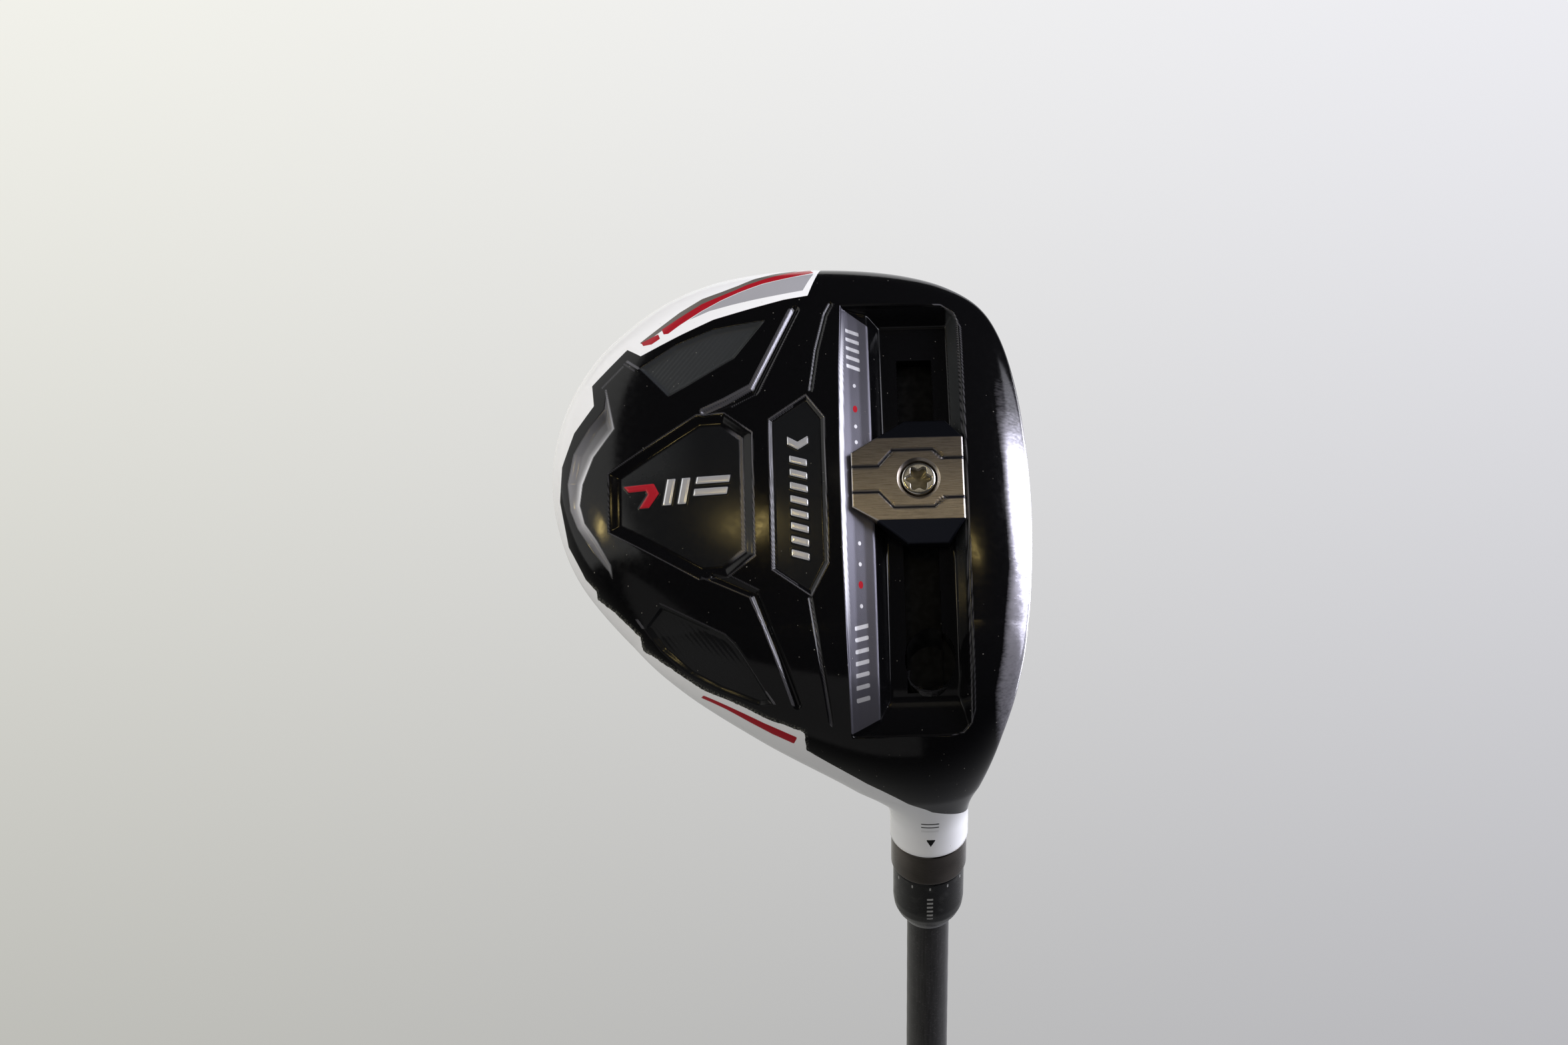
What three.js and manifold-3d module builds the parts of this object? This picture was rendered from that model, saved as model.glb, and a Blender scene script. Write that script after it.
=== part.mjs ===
// Fairway wood (3-wood), right handed, with a sliding sole weight and a removable loft sleeve.
// Millimetres. Row frame: origin at the middle of the grip's butt face, +Z up the shaft axis.
// Head frame, used to lay out the head: club soled at its lie angle, shaft axis meets the ground
// at the origin, +X is the target side (face), -Y the toe, +Y the heel, +Z up.
import * as THREE from 'three';
import Module from 'manifold-3d';
import { mergeVertices } from 'three/addons/utils/BufferGeometryUtils.js';

const wasm = await Module();
wasm.setup();

// ---------------------------------------------------------------- driving dimensions
const CLUB_LENGTH = 1098.6;        // 43.25 in, along the shaft axis from the ground to the butt
const LIE = THREE.MathUtils.degToRad(58);
const LOFT = THREE.MathUtils.degToRad(15);
const GAP = 0.3;                   // clearance between neighbouring pieces

const BEND_Y = -1.4;               // where the heel starts to turn up into the hosel
const MID_HEIGHT = 20;             // height of the line the head sections are strung on
const BEND_RADIUS = 25;
const BEND_END = BEND_RADIUS * LIE;

const SOLE_WALL = 1.6;
const CROWN_WALL = 0.8;
const FACE_WALL = 2.2;
const RELIEF = 0.7;                // depth of the pads and panels sunk into the sole

const HOSEL_TOP = 56;              // distances along the shaft axis from the ground
const HOSEL_BORE_R = 6.5;
const HOSEL_BORE_FLOOR = 23.9;
const SCREW_SEAT = 21.6;
const PORT_R = 4.9;
const SHAFT_TIP = 33.4;
const SHAFT_TIP_R = 4.25;
const SHAFT_BUTT_R = 7.6;
const GRIP_MOUTH = 828;

const TRACK_R = 160;               // heel to toe radius of the sole and of the weight track
const TRACK_Y = -26;               // middle of the track
const TRACK_TOE = -66.8;
const TRACK_HEEL = 20.5;
const RAIL_TOE = -57;
const RAIL_HEEL = 12;
const WEIGHT_OFFSET = -3.2;        // the weight rests this far toeward of the middle

// ---------------------------------------------------------------- solids
function solid(points, triangles) {
  const mesh = new wasm.Mesh({
    numProp: 3,
    vertProperties: new Float32Array(points.flat()),
    triVerts: new Uint32Array(triangles.flat()),
  });
  const made = new wasm.Manifold(mesh);
  if (made.volume() > 0) return made;
  return solid(points, triangles.map(([a, b, c]) => [a, c, b]));
}

// Closed skin over a stack of rings. A ring of one point closes the stack to a tip.
function loft(rings) {
  const points = [];
  const triangles = [];
  const starts = rings.map((ring) => {
    points.push(...ring);
    return points.length - ring.length;
  });
  for (let i = 0; i + 1 < rings.length; i += 1) {
    const n = Math.max(rings[i].length, rings[i + 1].length);
    const at = (k, j) => starts[k] + (rings[k].length === 1 ? 0 : j % n);
    for (let j = 0; j < n; j += 1) {
      if (rings[i].length > 1) triangles.push([at(i, j), at(i, j + 1), at(i + 1, j)]);
      if (rings[i + 1].length > 1) triangles.push([at(i, j + 1), at(i + 1, j + 1), at(i + 1, j)]);
    }
  }
  const first = rings[0];
  const last = rings[rings.length - 1];
  if (first.length > 1) cap(points, triangles, first, starts[0], true);
  if (last.length > 1) cap(points, triangles, last, starts[rings.length - 1], false);
  return solid(points, triangles);
}

function cap(points, triangles, ring, start, flip) {
  const centre = [0, 1, 2].map((k) => ring.reduce((sum, p) => sum + p[k], 0) / ring.length);
  points.push(centre);
  const hub = points.length - 1;
  for (let j = 0; j < ring.length; j += 1) {
    const a = start + j;
    const b = start + ((j + 1) % ring.length);
    triangles.push(flip ? [hub, b, a] : [hub, a, b]);
  }
}

const rowPoint = (x, y, z) => {
  const tilt = Math.PI / 2 - LIE;
  const c = Math.cos(tilt);
  const s = Math.sin(tilt);
  return [x, y * c - z * s, y * s + z * c - CLUB_LENGTH];
};

// Solid from a closed three.js geometry.
function fromGeometry(geometry) {
  geometry.deleteAttribute('normal');
  geometry.deleteAttribute('uv');
  const { index, attributes: { position } } = mergeVertices(geometry, 1e-4);
  const points = [];
  for (let i = 0; i < position.count; i += 1) {
    points.push([position.getX(i), position.getY(i), position.getZ(i)]);
  }
  const triangles = [];
  for (let i = 0; i < index.count; i += 3) {
    const [a, b, c] = [index.getX(i), index.getX(i + 1), index.getX(i + 2)];
    if (a !== b && b !== c && a !== c) triangles.push([a, b, c]);
  }
  return solid(points, triangles);
}

// Solid of revolution on the shaft axis. Profile points are [radius, distance from the ground].
// A profile starts and ends on the axis, or is closed on itself as a tube.
function revolve(profile, segments = 24) {
  const outline = profile[0][0] === 0 ? profile : [...profile, profile[0]];
  const geometry = new THREE.LatheGeometry(outline.map(([r, l]) => new THREE.Vector2(r, l)), segments);
  geometry.rotateX(Math.PI / 2);
  return fromGeometry(geometry).translate([0, 0, -CLUB_LENGTH]);
}

const tube = (inner, outer, low, high, segments) =>
  revolve([[inner, low], [outer, low], [outer, high], [inner, high]], segments);

const rod = (radius, low, high, segments) =>
  revolve([[0, low], [radius, low], [radius, high], [0, high]], segments);

// ---------------------------------------------------------------- outer form of the head
// Sections across the head from toe to hosel, before the heel is bent up: s, back, sole, lead,
// top, crown, round. s runs along the head. back to crown are section points of x, to the target,
// and height. round turns the section from a head shape (0) to an oval (1).
const STATIONS = [
  [-76.6, [-21, 17], [-21, 17], [-21, 17], [-21, 17], [-21, 17], 1],
  [-76.0, [-32, 17], [-21, 13.2], [-10, 16], [-13, 21], [-22, 21.5], 0.9],
  [-74.0, [-42, 17], [-20, 9.8], [-1, 14], [-4.5, 24.3], [-19, 25.3], 0.5],
  [-70.6, [-50, 17], [-17, 7], [6.5, 11.6], [1.5, 27.4], [-14, 29], 0.2],
  [-65.6, [-57.2, 17], [-12, 5.2], [12.3, 9.2], [6, 30], [-10, 32], 0],
  [-58.6, [-64.3, 17], [-8, 3.7], [15.9, 7.4], [8.9, 31.8], [-7, 34], 0],
  [-48.6, [-70, 17], [-5, 1.9], [18.4, 6.2], [11, 33.2], [-5, 36], 0],
  [-36.6, [-72.8, 17], [-4, 0.5], [19.9, 5.6], [12.1, 34.1], [-4, 37], 0],
  [-24.6, [-71.8, 17], [-4, 0], [20.5, 5.5], [12.6, 34.4], [-4, 37.4], 0],
  [-12.6, [-67.2, 17], [-4, 0.5], [20.2, 5.8], [12.5, 34.2], [-4, 37.2], 0],
  [0, [-58.2, 17], [-4, 1.9], [19, 7], [12, 33.6], [-4, 36.8], 0],
  [8, [-49.5, 17], [-4, 2.8], [16.7, 8.4], [11, 32.6], [-4, 36], 0.12],
  [16, [-37.5, 17.4], [-3, 5.2], [13.2, 10.8], [9.4, 31], [-3, 34.2], 0.4],
  [24, [-24, 18.2], [-1.6, 8.2], [10.2, 14.2], [7.6, 29], [-1.6, 31.6], 0.75],
  [31, [-12, 19.2], [-0.4, 10.6], [8.4, 17.6], [6.4, 27.4], [-0.4, 29], 0.95],
  [36, [-8.2, 19.9], [0, 11.9], [7.8, 19.6], [6, 27], [0, 28], 1],
  [40, [-7.8, 20], [0, 12.2], [7.8, 20], [6, 27], [0, 27.8], 1],
  [43.9, [-7.8, 20], [0, 12.2], [7.8, 20], [6, 27], [0, 27.8], 1],
].map(([s, back, sole, lead, top, crown, round]) => ({ s, back, sole, lead, top, crown, round }));

const flat = (st) => [st.s, ...st.back, ...st.sole, ...st.lead, ...st.top, ...st.crown, st.round];

function stationAt(position) {
  const rows = STATIONS.map(flat);
  const before = rows[0].map((value, k) => 2 * value - rows[1][k]);
  before[0] = rows[1][0];
  const after = rows.at(-1).map((value, k) => 2 * value - rows.at(-2)[k]);
  const all = [before, ...rows, after];
  const i = Math.min(Math.floor(position), rows.length - 2);
  const t = position - i;
  const v = all[i].map((p0, k) => {
    const [p1, p2, p3] = [all[i + 1][k], all[i + 2][k], all[i + 3][k]];
    return 0.5 * (2 * p1 + (p2 - p0) * t + (2 * p0 - 5 * p1 + 4 * p2 - p3) * t * t
      + (3 * p1 - p0 - 3 * p2 + p3) * t * t * t);
  });
  return {
    s: v[0], back: [v[1], v[2]], sole: [v[3], v[4]], lead: [v[5], v[6]],
    top: [v[7], v[8]], crown: [v[9], v[10]], round: v[11],
  };
}

const add = (p, x, v) => [p[0] + x, p[1] + v];
const mix = (p, q, t) => [p[0] + (q[0] - p[0]) * t, p[1] + (q[1] - p[1]) * t];

function bezier(a, b, c, d, t) {
  const u = 1 - t;
  const weights = [u * u * u, 3 * u * u * t, 3 * u * t * t, t * t * t];
  return [0, 1].map((k) => [a, b, c, d].reduce((sum, p, i) => sum + weights[i] * p[k], 0));
}

// Point on a section. span 0 is the back half of the sole, 1 its front half, 2 the face,
// 3 the rounded top line and 4 the crown.
function sectionPoint(st, span, t) {
  return mix(headSection(st, span, t), ovalSection(st, span, t), Math.min(Math.max(st.round, 0), 1));
}

function headSection({ back, sole, lead, top }, span, t) {
  const height = Math.hypot(top[0] - lead[0], top[1] - lead[1]);
  const edge = Math.min(3, 0.12 * height);
  const below = mix(top, lead, edge / Math.max(height, 1e-6));
  const behind = add(top, -edge * Math.cos(0.24), edge * Math.sin(0.24));
  const depth = top[0] - back[0];
  if (span === 0) {
    return bezier(back, add(back, 0, -0.55 * (back[1] - sole[1])),
      add(sole, -0.62 * (sole[0] - back[0]), 0), sole, t);
  }
  if (span === 1) {
    return bezier(sole, add(sole, 0.6 * (lead[0] - sole[0]), 0),
      add(lead, 0, -0.5 * (lead[1] - sole[1])), lead, t);
  }
  if (span === 2) {
    return bezier(lead, add(lead, 0.02 * height, 0.16 * height), mix(below, lead, 0.3), below, t);
  }
  if (span === 3) return bezier(below, mix(below, top, 0.6), mix(behind, top, 0.6), behind, t);
  return bezier(behind, add(behind, -0.3 * depth, 0.3 * depth * Math.tan(0.24)),
    add(back, 0, 0.45 * (top[1] - back[1])), back, t);
}

function ovalSection({ back, sole, lead, crown }, span, t) {
  const k = 0.5523;
  const front = (u) => bezier(lead, add(lead, 0, k * (crown[1] - lead[1])),
    add(crown, k * (lead[0] - crown[0]), 0), crown, u);
  const rear = (u) => bezier(crown, add(crown, -k * (crown[0] - back[0]), 0),
    add(back, 0, k * (crown[1] - back[1])), back, u);
  if (span === 0) {
    return bezier(back, add(back, 0, -k * (back[1] - sole[1])),
      add(sole, -k * (sole[0] - back[0]), 0), sole, t);
  }
  if (span === 1) {
    return bezier(sole, add(sole, k * (lead[0] - sole[0]), 0),
      add(lead, 0, -k * (lead[1] - sole[1])), lead, t);
  }
  if (span === 2) return front(0.55 * t);
  if (span === 3) return front(0.55 + 0.15 * t);
  return t * 1.3 < 0.3 ? front(0.7 + t * 1.3) : rear(t * 1.3 - 0.3);
}

// Bend the straight head sections round the heel and up the hosel, into the row frame.
function bent(s, x, v) {
  const n = v - MID_HEIGHT;
  const angle = Math.min(Math.max(s / BEND_RADIUS, 0), LIE);
  const beyond = Math.max(s - BEND_END, 0);
  const straight = Math.min(s, 0);
  const y = BEND_Y + straight + BEND_RADIUS * Math.sin(angle) + beyond * Math.cos(angle);
  const z = MID_HEIGHT + BEND_RADIUS * (1 - Math.cos(angle)) + beyond * Math.sin(angle);
  return rowPoint(x, y - n * Math.sin(angle), z + n * Math.cos(angle));
}

const steps = (from, to, count) =>
  Array.from({ length: count + 1 }, (_, i) => from + ((to - from) * i) / count);

const SPAN_COUNTS = [10, 6, 3, 2, 9];

// One closed section, pulled in by the wall thickness of each span.
function sectionRing(st, walls, counts = SPAN_COUNTS) {
  const ring = [];
  counts.forEach((count, span) => {
    for (let i = 0; i < count; i += 1) ring.push([...sectionPoint(st, span, i / count), walls[span]]);
  });
  const n = ring.length;
  return ring.map(([x, v, wall], j) => {
    const [ax, av] = ring[(j + n - 1) % n];
    const [bx, bv] = ring[(j + 1) % n];
    const length = Math.hypot(bx - ax, bv - av) || 1;
    return [x - (wall * (bv - av)) / length, v + (wall * (bx - ax)) / length];
  });
}

function headForm(from, to, count, inset, counts) {
  const rings = steps(from, to, count).map((position) => {
    const st = stationAt(position);
    if (position === 0) return [bent(st.s, st.back[0], st.back[1])];
    return sectionRing(st, inset, counts).map(([x, v]) => bent(st.s, x, v));
  });
  return loft(rings);
}

// Line over the outer form along chosen spans of one section, measured in millimetres.
function formLine(position, spans) {
  const st = stationAt(position);
  const dense = spans.flatMap((span) => steps(0, 1, 24).map((t) => sectionPoint(st, span, t)));
  const runs = [0];
  for (let i = 1; i < dense.length; i += 1) {
    runs.push(runs[i - 1] + Math.hypot(dense[i][0] - dense[i - 1][0], dense[i][1] - dense[i - 1][1]));
  }
  const point = (d) => {
    const k = Math.min(Math.max(runs.findIndex((run) => run >= d), 1), dense.length - 1);
    const t = (d - runs[k - 1]) / Math.max(runs[k] - runs[k - 1], 1e-6);
    return new THREE.Vector3(...bent(st.s, ...mix(dense[k - 1], dense[k], t)));
  };
  return { total: runs.at(-1), point };
}

// Patch of the outer form made into a plate. marginA and marginB are the distances in from the
// ends of the section line; rise and sink are how far the plate reaches out and in.
function patch({ from, to, across, spans, marginA, marginB, along, rise, sink }) {
  const outer = [];
  const inner = [];
  steps(from, to, across).forEach((position) => {
    const line = formLine(position, spans);
    const ahead = formLine(position + 0.03, spans);
    const astern = formLine(position - 0.03, spans);
    const [low, high] = [marginA(position), line.total - marginB(position)];
    const rim = [];
    const root = [];
    steps(low, high, along).forEach((d) => {
      const point = line.point(d);
      const lengthwise = ahead.point((d * ahead.total) / line.total)
        .sub(astern.point((d * astern.total) / line.total));
      const crosswise = line.point(d + 0.8).sub(line.point(d - 0.8));
      const normal = lengthwise.cross(crosswise).normalize();
      rim.push(point.clone().addScaledVector(normal, rise).toArray());
      root.push(point.clone().addScaledVector(normal, -sink).toArray());
    });
    outer.push(rim);
    inner.push(root);
  });
  return plate(outer, inner);
}

// Closed plate between an outer and an inner grid of points.
function plate(outer, inner) {
  const rows = outer.length;
  const columns = outer[0].length;
  const points = [...outer.flat(), ...inner.flat()];
  const triangles = [];
  const at = (layer, i, j) => layer * rows * columns + i * columns + j;
  const quad = (a, b, c, d) => triangles.push([a, b, c], [a, c, d]);
  for (let i = 0; i + 1 < rows; i += 1) {
    for (let j = 0; j + 1 < columns; j += 1) {
      quad(at(0, i, j), at(0, i + 1, j), at(0, i + 1, j + 1), at(0, i, j + 1));
      quad(at(1, i, j), at(1, i, j + 1), at(1, i + 1, j + 1), at(1, i + 1, j));
    }
    quad(at(0, i, 0), at(1, i, 0), at(1, i + 1, 0), at(0, i + 1, 0));
    const e = columns - 1;
    quad(at(0, i, e), at(0, i + 1, e), at(1, i + 1, e), at(1, i, e));
  }
  for (let j = 0; j + 1 < columns; j += 1) {
    quad(at(0, 0, j), at(0, 0, j + 1), at(1, 0, j + 1), at(1, 0, j));
    const e = rows - 1;
    quad(at(0, e, j), at(1, e, j), at(1, e, j + 1), at(0, e, j + 1));
  }
  return solid(points, triangles);
}

// ---------------------------------------------------------------- weight track
const arcRise = (y) => TRACK_R - Math.sqrt(TRACK_R ** 2 - y ** 2);

// Height of the line that the rails follow.
const trackLine = (y) => arcRise(y - TRACK_Y);

// Height of the line that the channel follows: steeper past the heel end of the rails.
const soleLine = (y) => trackLine(y) + 0.03 * Math.max(0, y - 8) ** 2;

// Sweep an outline of [x, depth into the head] points along y. shape(y) gives the outline.
function sweep(ys, shape, line = trackLine) {
  return loft(ys.map((y) => shape(y).map(([x, depth]) => rowPoint(x, y, line(y) + depth))));
}

// Straight prism through the sole over a plan outline of [x, y] points.
function prism(outline, low, high) {
  return loft([low, high].map((z) => outline.map(([x, y]) => rowPoint(x, y, z))));
}

const bar = ([ax, ay], [bx, by], width) => {
  const length = Math.hypot(bx - ax, by - ay);
  const nx = (-(by - ay) / length) * (width / 2);
  const ny = ((bx - ax) / length) * (width / 2);
  return [[ax + nx, ay + ny], [ax - nx, ay - ny], [bx - nx, by - ny], [bx + nx, by + ny]];
};

const union = (parts) => parts.reduce((sum, part) => sum.add(part));

const FLOOR_DEPTH = 5.5;
const CAVITY_DEPTH = 9.3;
const LIP = 1.2;

// Open channel with its rear scale ledge, sloping walls and ramped ends.
function channel() {
  const toeRamp = (y) => 0.5 + (y - TRACK_TOE) * 0.55;
  const heelRamp = (y) => 0.5 + (TRACK_HEEL - y) * 0.62;
  const ramp = (y) => Math.max(0, Math.min(toeRamp(y), heelRamp(y)));
  const front = (y) => 8.3 - Math.max(0, -61 - y) * 0.6 - Math.max(0, y - 16) * 0.9;
  const shape = (y) => {
    const deep = (depth) => Math.min(depth, ramp(y));
    return [
      [-16, -8], [-16, deep(0.5)], [-10, deep(2.6)], [-7.7, deep(FLOOR_DEPTH)],
      [5.5 - Math.max(0, y - 16) * 0.5, deep(FLOOR_DEPTH)], [front(y), deep(0.6)], [front(y), -8],
    ];
  };
  const ys = [TRACK_TOE, -63, -60, RAIL_TOE, ...steps(-47, 3, 5), RAIL_HEEL, 14, 17, 19, TRACK_HEEL];
  return sweep(ys, shape, soleLine);
}

// T-shaped slot under the channel floor that holds the clamp plate.
function railSlot() {
  const box = (x0, x1, d0, d1) => () => [[x0, d0], [x0, d1], [x1, d1], [x1, d0]];
  const ys = steps(RAIL_TOE + 1, RAIL_HEEL - 1, 8);
  const neck = sweep(ys, box(-4.5, 2.3, FLOOR_DEPTH - 1, FLOOR_DEPTH + LIP + 0.5));
  return neck.add(sweep(ys, box(-7.5, 5.3, FLOOR_DEPTH + LIP, CAVITY_DEPTH)));
}

// Wall left standing round the channel inside the hollow head.
function channelWall() {
  const shape = () => [
    [-18, -3], [-18, 3], [-12.2, 4.8], [-9.4, CAVITY_DEPTH + 1.5],
    [7.2, CAVITY_DEPTH + 1.5], [10.6, 3], [11, -3],
  ];
  return sweep([TRACK_TOE - 2, ...steps(-60, 8, 5), 15, TRACK_HEEL + 3], shape, soleLine);
}

// ---------------------------------------------------------------- head pieces
const REAR_PAD = [
  [-61.5, -34], [-44, -44.5], [-38.5, -44.5], [-33, -40],
  [-33, -15], [-38.5, -11], [-44, -11], [-61.5, -22],
];
const NAME_PANEL = [
  [-30, -42.5], [-22.5, -47.5], [-19, -42.5], [-19, -13], [-22.5, -6.5], [-30, -12],
];
const TOE_PANEL = [[-54.5, -54.5], [-49.5, -48.5], [-37.5, -55], [-30, -64]];
const HEEL_PANEL = [[-55, -3.5], [-51.5, -6.5], [-39, 0], [-30, 13.5], [-43, 10], [-53.5, 2]];
const REAR_SCOOP = [
  [-68.2, -32.3], [-67.2, -40.2], [-62, -47.2], [-60.8, -50.4], [-59.8, -42.6], [-65.8, -32.6],
];
const RIBS = [
  bar([-24.3, -65], [-32.8, -48.6], 1.3), bar([-32.8, -48.6], [-40.5, -45.2], 1.3),
  bar([-40.5, -10.6], [-33, -6.5], 1.3), bar([-33, -6.5], [-26.5, 13], 1.3),
  bar([-18.2, -65], [-21.8, -48.5], 1), bar([-22.6, -5.5], [-20, 16], 1),
];

function soleRelief(form) {
  const skin = form.subtract(headForm(0.5, 15.5, 30, Array(5).fill(RELIEF)));
  const outlines = [REAR_PAD, NAME_PANEL, TOE_PANEL, HEEL_PANEL, REAR_SCOOP, ...RIBS];
  return union(outlines.map((outline) => prism(outline, -4, 14).intersect(skin)));
}

const CROWN = {
  from: 1.6, to: 12.4, across: 16, spans: [4], along: 8,
  marginA: () => 2.5, marginB: () => 3,
};
const faceMargin = (position) => 2.6 + 9 * ((position - 7) / 3.1) ** 6;
const FACE = {
  from: 3.9, to: 10, across: 12, spans: [2], along: 4,
  marginA: faceMargin, marginB: (position) => 0.8 * faceMargin(position),
};

function widened(shape) {
  return {
    ...shape,
    from: shape.from - 0.05,
    to: shape.to + 0.05,
    marginA: (position) => shape.marginA(position) - GAP,
    marginB: (position) => shape.marginB(position) - GAP,
    rise: 2,
    sink: 4,
  };
}

function headBody() {
  const form = headForm(0, 17, 34, [0, 0, 0, 0, 0]);
  const walls = [SOLE_WALL, SOLE_WALL, FACE_WALL, FACE_WALL, CROWN_WALL];
  const hollow = headForm(1.5, 13.5, 16, walls, [6, 4, 2, 1, 6]);
  const hoselTube = rod(HOSEL_BORE_R + 1.4, -6, HOSEL_TOP + 8);
  const room = hollow.subtract(channelWall()).subtract(hoselTube);
  const bores = union([
    rod(HOSEL_BORE_R, HOSEL_BORE_FLOOR, HOSEL_TOP + 4),
    rod(3.2, SCREW_SEAT - 1, HOSEL_BORE_FLOOR + 1),
    rod(PORT_R, 6, SCREW_SEAT),
  ]);
  return form
    .subtract(room)
    .subtract(soleRelief(form))
    .subtract(channel())
    .subtract(railSlot())
    .subtract(bores)
    .subtract(patch(widened(CROWN)))
    .subtract(patch(widened(FACE)));
}

const crownShell = () => patch({ ...CROWN, rise: 0, sink: CROWN_WALL });

// Score lines: their heights, and where they start and end along the head.
const SCORE_HEIGHTS = [14, 19, 24, 29];
const SCORE_ENDS = [[-62, -44], [-17, 0]];
const SCORE_HALF = 0.3;

function scoreLine(height, ends) {
  const face = 20.5 - (height - 5.5) * Math.tan(LOFT);
  const outline = [
    [face - 1.5, height - SCORE_HALF], [face - 1.5, height + SCORE_HALF],
    [face + 6, height + SCORE_HALF], [face + 6, height - SCORE_HALF],
  ];
  return loft(ends.map((y) => outline.map(([x, z]) => rowPoint(x, y, z))));
}

function facePlate() {
  const lines = SCORE_HEIGHTS.flatMap((height) => SCORE_ENDS.map((ends) => scoreLine(height, ends)));
  const shell = patch({ ...FACE, rise: 0, sink: FACE_WALL });
  const core = patch({ ...FACE, rise: -SCORE_HALF, sink: FACE_WALL + 1 });
  return shell.subtract(union(lines).subtract(core));
}

// Ring glued in the hosel, with 12 inward teeth for the sleeve.
const TEETH = 12;

function toothedRing(inner, outer, low, high, phase) {
  const outline = [];
  for (let k = 0; k < TEETH; k += 1) {
    [[0.08, inner], [0.42, inner], [0.58, outer], [0.92, outer]].forEach(([part, r]) => {
      const angle = ((k + part + phase) / TEETH) * 2 * Math.PI;
      outline.push([r * Math.cos(angle), r * Math.sin(angle)]);
    });
  }
  return loft([low, high].map((l) => outline.map(([x, y]) => [x, y, l - CLUB_LENGTH])));
}

function hoselInsert() {
  return rod(HOSEL_BORE_R - GAP, 24.2, 33.9).subtract(toothedRing(4.9, 5.5, 20, 40, 0));
}

// ---------------------------------------------------------------- hosel screw
function sixLobe(radius, low, high) {
  const ring = (z) => steps(0, 23, 23).map((k) => {
    const angle = (k / 24) * 2 * Math.PI;
    const r = radius * (1 + 0.16 * Math.cos(6 * angle));
    return [r * Math.cos(angle), r * Math.sin(angle), z];
  });
  return loft([ring(low), ring(high)]);
}

function hoselScrew() {
  const profile = [
    [0, 15.8], [3.4, 15.8], [3.8, 16.2], [3.8, 20], [2.5, 20], [2.5, 32.6], [2.1, 33], [0, 33],
  ];
  const socket = sixLobe(2.1, 14 - CLUB_LENGTH, 18.4 - CLUB_LENGTH);
  return revolve(profile).subtract(socket);
}

// ---------------------------------------------------------------- sliding weight
const HALF = 12.5;
const PLAN = [[-14.2, 5.5], [-9.5, 8.3], [-3.5, HALF], [4.3, HALF], [7.5, 8.3]];
const SCREW_X = -1.25;
const SCREW_HOLE_R = 2.2;
const FACE_DEPTH = 0.15;

// Local frame of the weight: x to the target, y to the heel from the screw, z into the head.
// It is laid out at the middle of the track and turned about the track's centre to its place.
function inTrack(made) {
  const tilt = Math.PI / 2 - LIE;
  const swing = WEIGHT_OFFSET / TRACK_R;
  const matrix = new THREE.Matrix4()
    .makeTranslation(0, 0, -CLUB_LENGTH)
    .multiply(new THREE.Matrix4().makeRotationX(tilt))
    .multiply(new THREE.Matrix4().makeTranslation(0, TRACK_Y, TRACK_R))
    .multiply(new THREE.Matrix4().makeRotationX(swing))
    .multiply(new THREE.Matrix4().makeTranslation(0, 0, -TRACK_R));
  return made.transform(matrix.elements);
}

function upright(outline, low, high) {
  const shape = new THREE.Shape(outline.map(([x, y]) => new THREE.Vector2(x, y)));
  const geometry = new THREE.ExtrudeGeometry(shape, { depth: high - low, bevelEnabled: false });
  return fromGeometry(geometry).translate([0, 0, low]);
}

function lathe(profile, x) {
  const standing = revolve(profile);
  return standing.translate([x, 0, CLUB_LENGTH]);
}

function weightBlock() {
  const mirrored = PLAN.map(([x, y]) => [x, -y]).reverse();
  const octagon = upright([...PLAN, ...mirrored], FACE_DEPTH, FLOOR_DEPTH - 0.35);
  const under = [
    [-15, -1], [-15, 0.45], [-10.3, 2.2], [-7.2, FLOOR_DEPTH - 0.45],
    [5, FLOOR_DEPTH - 0.45], [7.9, 0.6], [7.9, -1],
  ];
  const seat = loft(steps(-13, 13, 8).map((y) => under.map(([x, d]) => [x, y, d + arcRise(y)])));
  const slopes = [-1, 1].map((side) => loft([-20, 20].map((x) => [
    [x, side * 8.3, -2], [x, side * 8.3, FACE_DEPTH], [x, side * 13.5, 3], [x, side * 13.5, -2],
  ])));
  const boss = upright([[-4.1, -6], [-4.1, 6], [1.9, 6], [1.9, -6]], 4.5, FLOOR_DEPTH + 0.9);
  const hole = lathe([
    [0, -1], [4.4, -1], [4.2, FACE_DEPTH], [3.6, 0.75], [3.6, 3.1], [SCREW_HOLE_R, 3.1],
    [SCREW_HOLE_R, 9], [0, 9],
  ], SCREW_X);
  const block = octagon.intersect(seat).subtract(union(slopes)).add(boss);
  return block.subtract(hole).subtract(grooves());
}

// Two fine grooves that step out round the screw.
function grooves() {
  const half = [[-16, -2.6], [-9, -2.6], [-6.2, -5.8], [1.6, -5.8], [3.6, -4], [9, -4]];
  return union([-1, 1].flatMap((side) => half.slice(1).map((end, i) => {
    const start = half[i];
    const line = bar([start[0], side * start[1]], [end[0], side * end[1]], 0.5);
    return upright(line, -1, FACE_DEPTH + 0.35);
  })));
}

function clampPlate() {
  const outline = [
    [-7.1, -2.6], [-6.6, -3.1], [4.4, -3.1], [4.9, -2.6],
    [4.9, 2.6], [4.4, 3.1], [-6.6, 3.1], [-7.1, 2.6],
  ];
  return upright(outline, FLOOR_DEPTH + LIP + GAP, CAVITY_DEPTH - 0.5)
    .subtract(lathe([[0, 5], [SCREW_HOLE_R, 5], [SCREW_HOLE_R, 11], [0, 11]], SCREW_X));
}

function weightScrew() {
  const profile = [
    [0, 0.35], [3.1, 0.35], [3.3, 0.55], [3.3, 2.8], [1.9, 2.8], [1.9, 8.7], [1.6, 9], [0, 9],
  ];
  const socket = sixLobe(1.9, -1, 2).translate([SCREW_X, 0, 0]);
  return lathe(profile, SCREW_X).subtract(socket);
}

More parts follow.
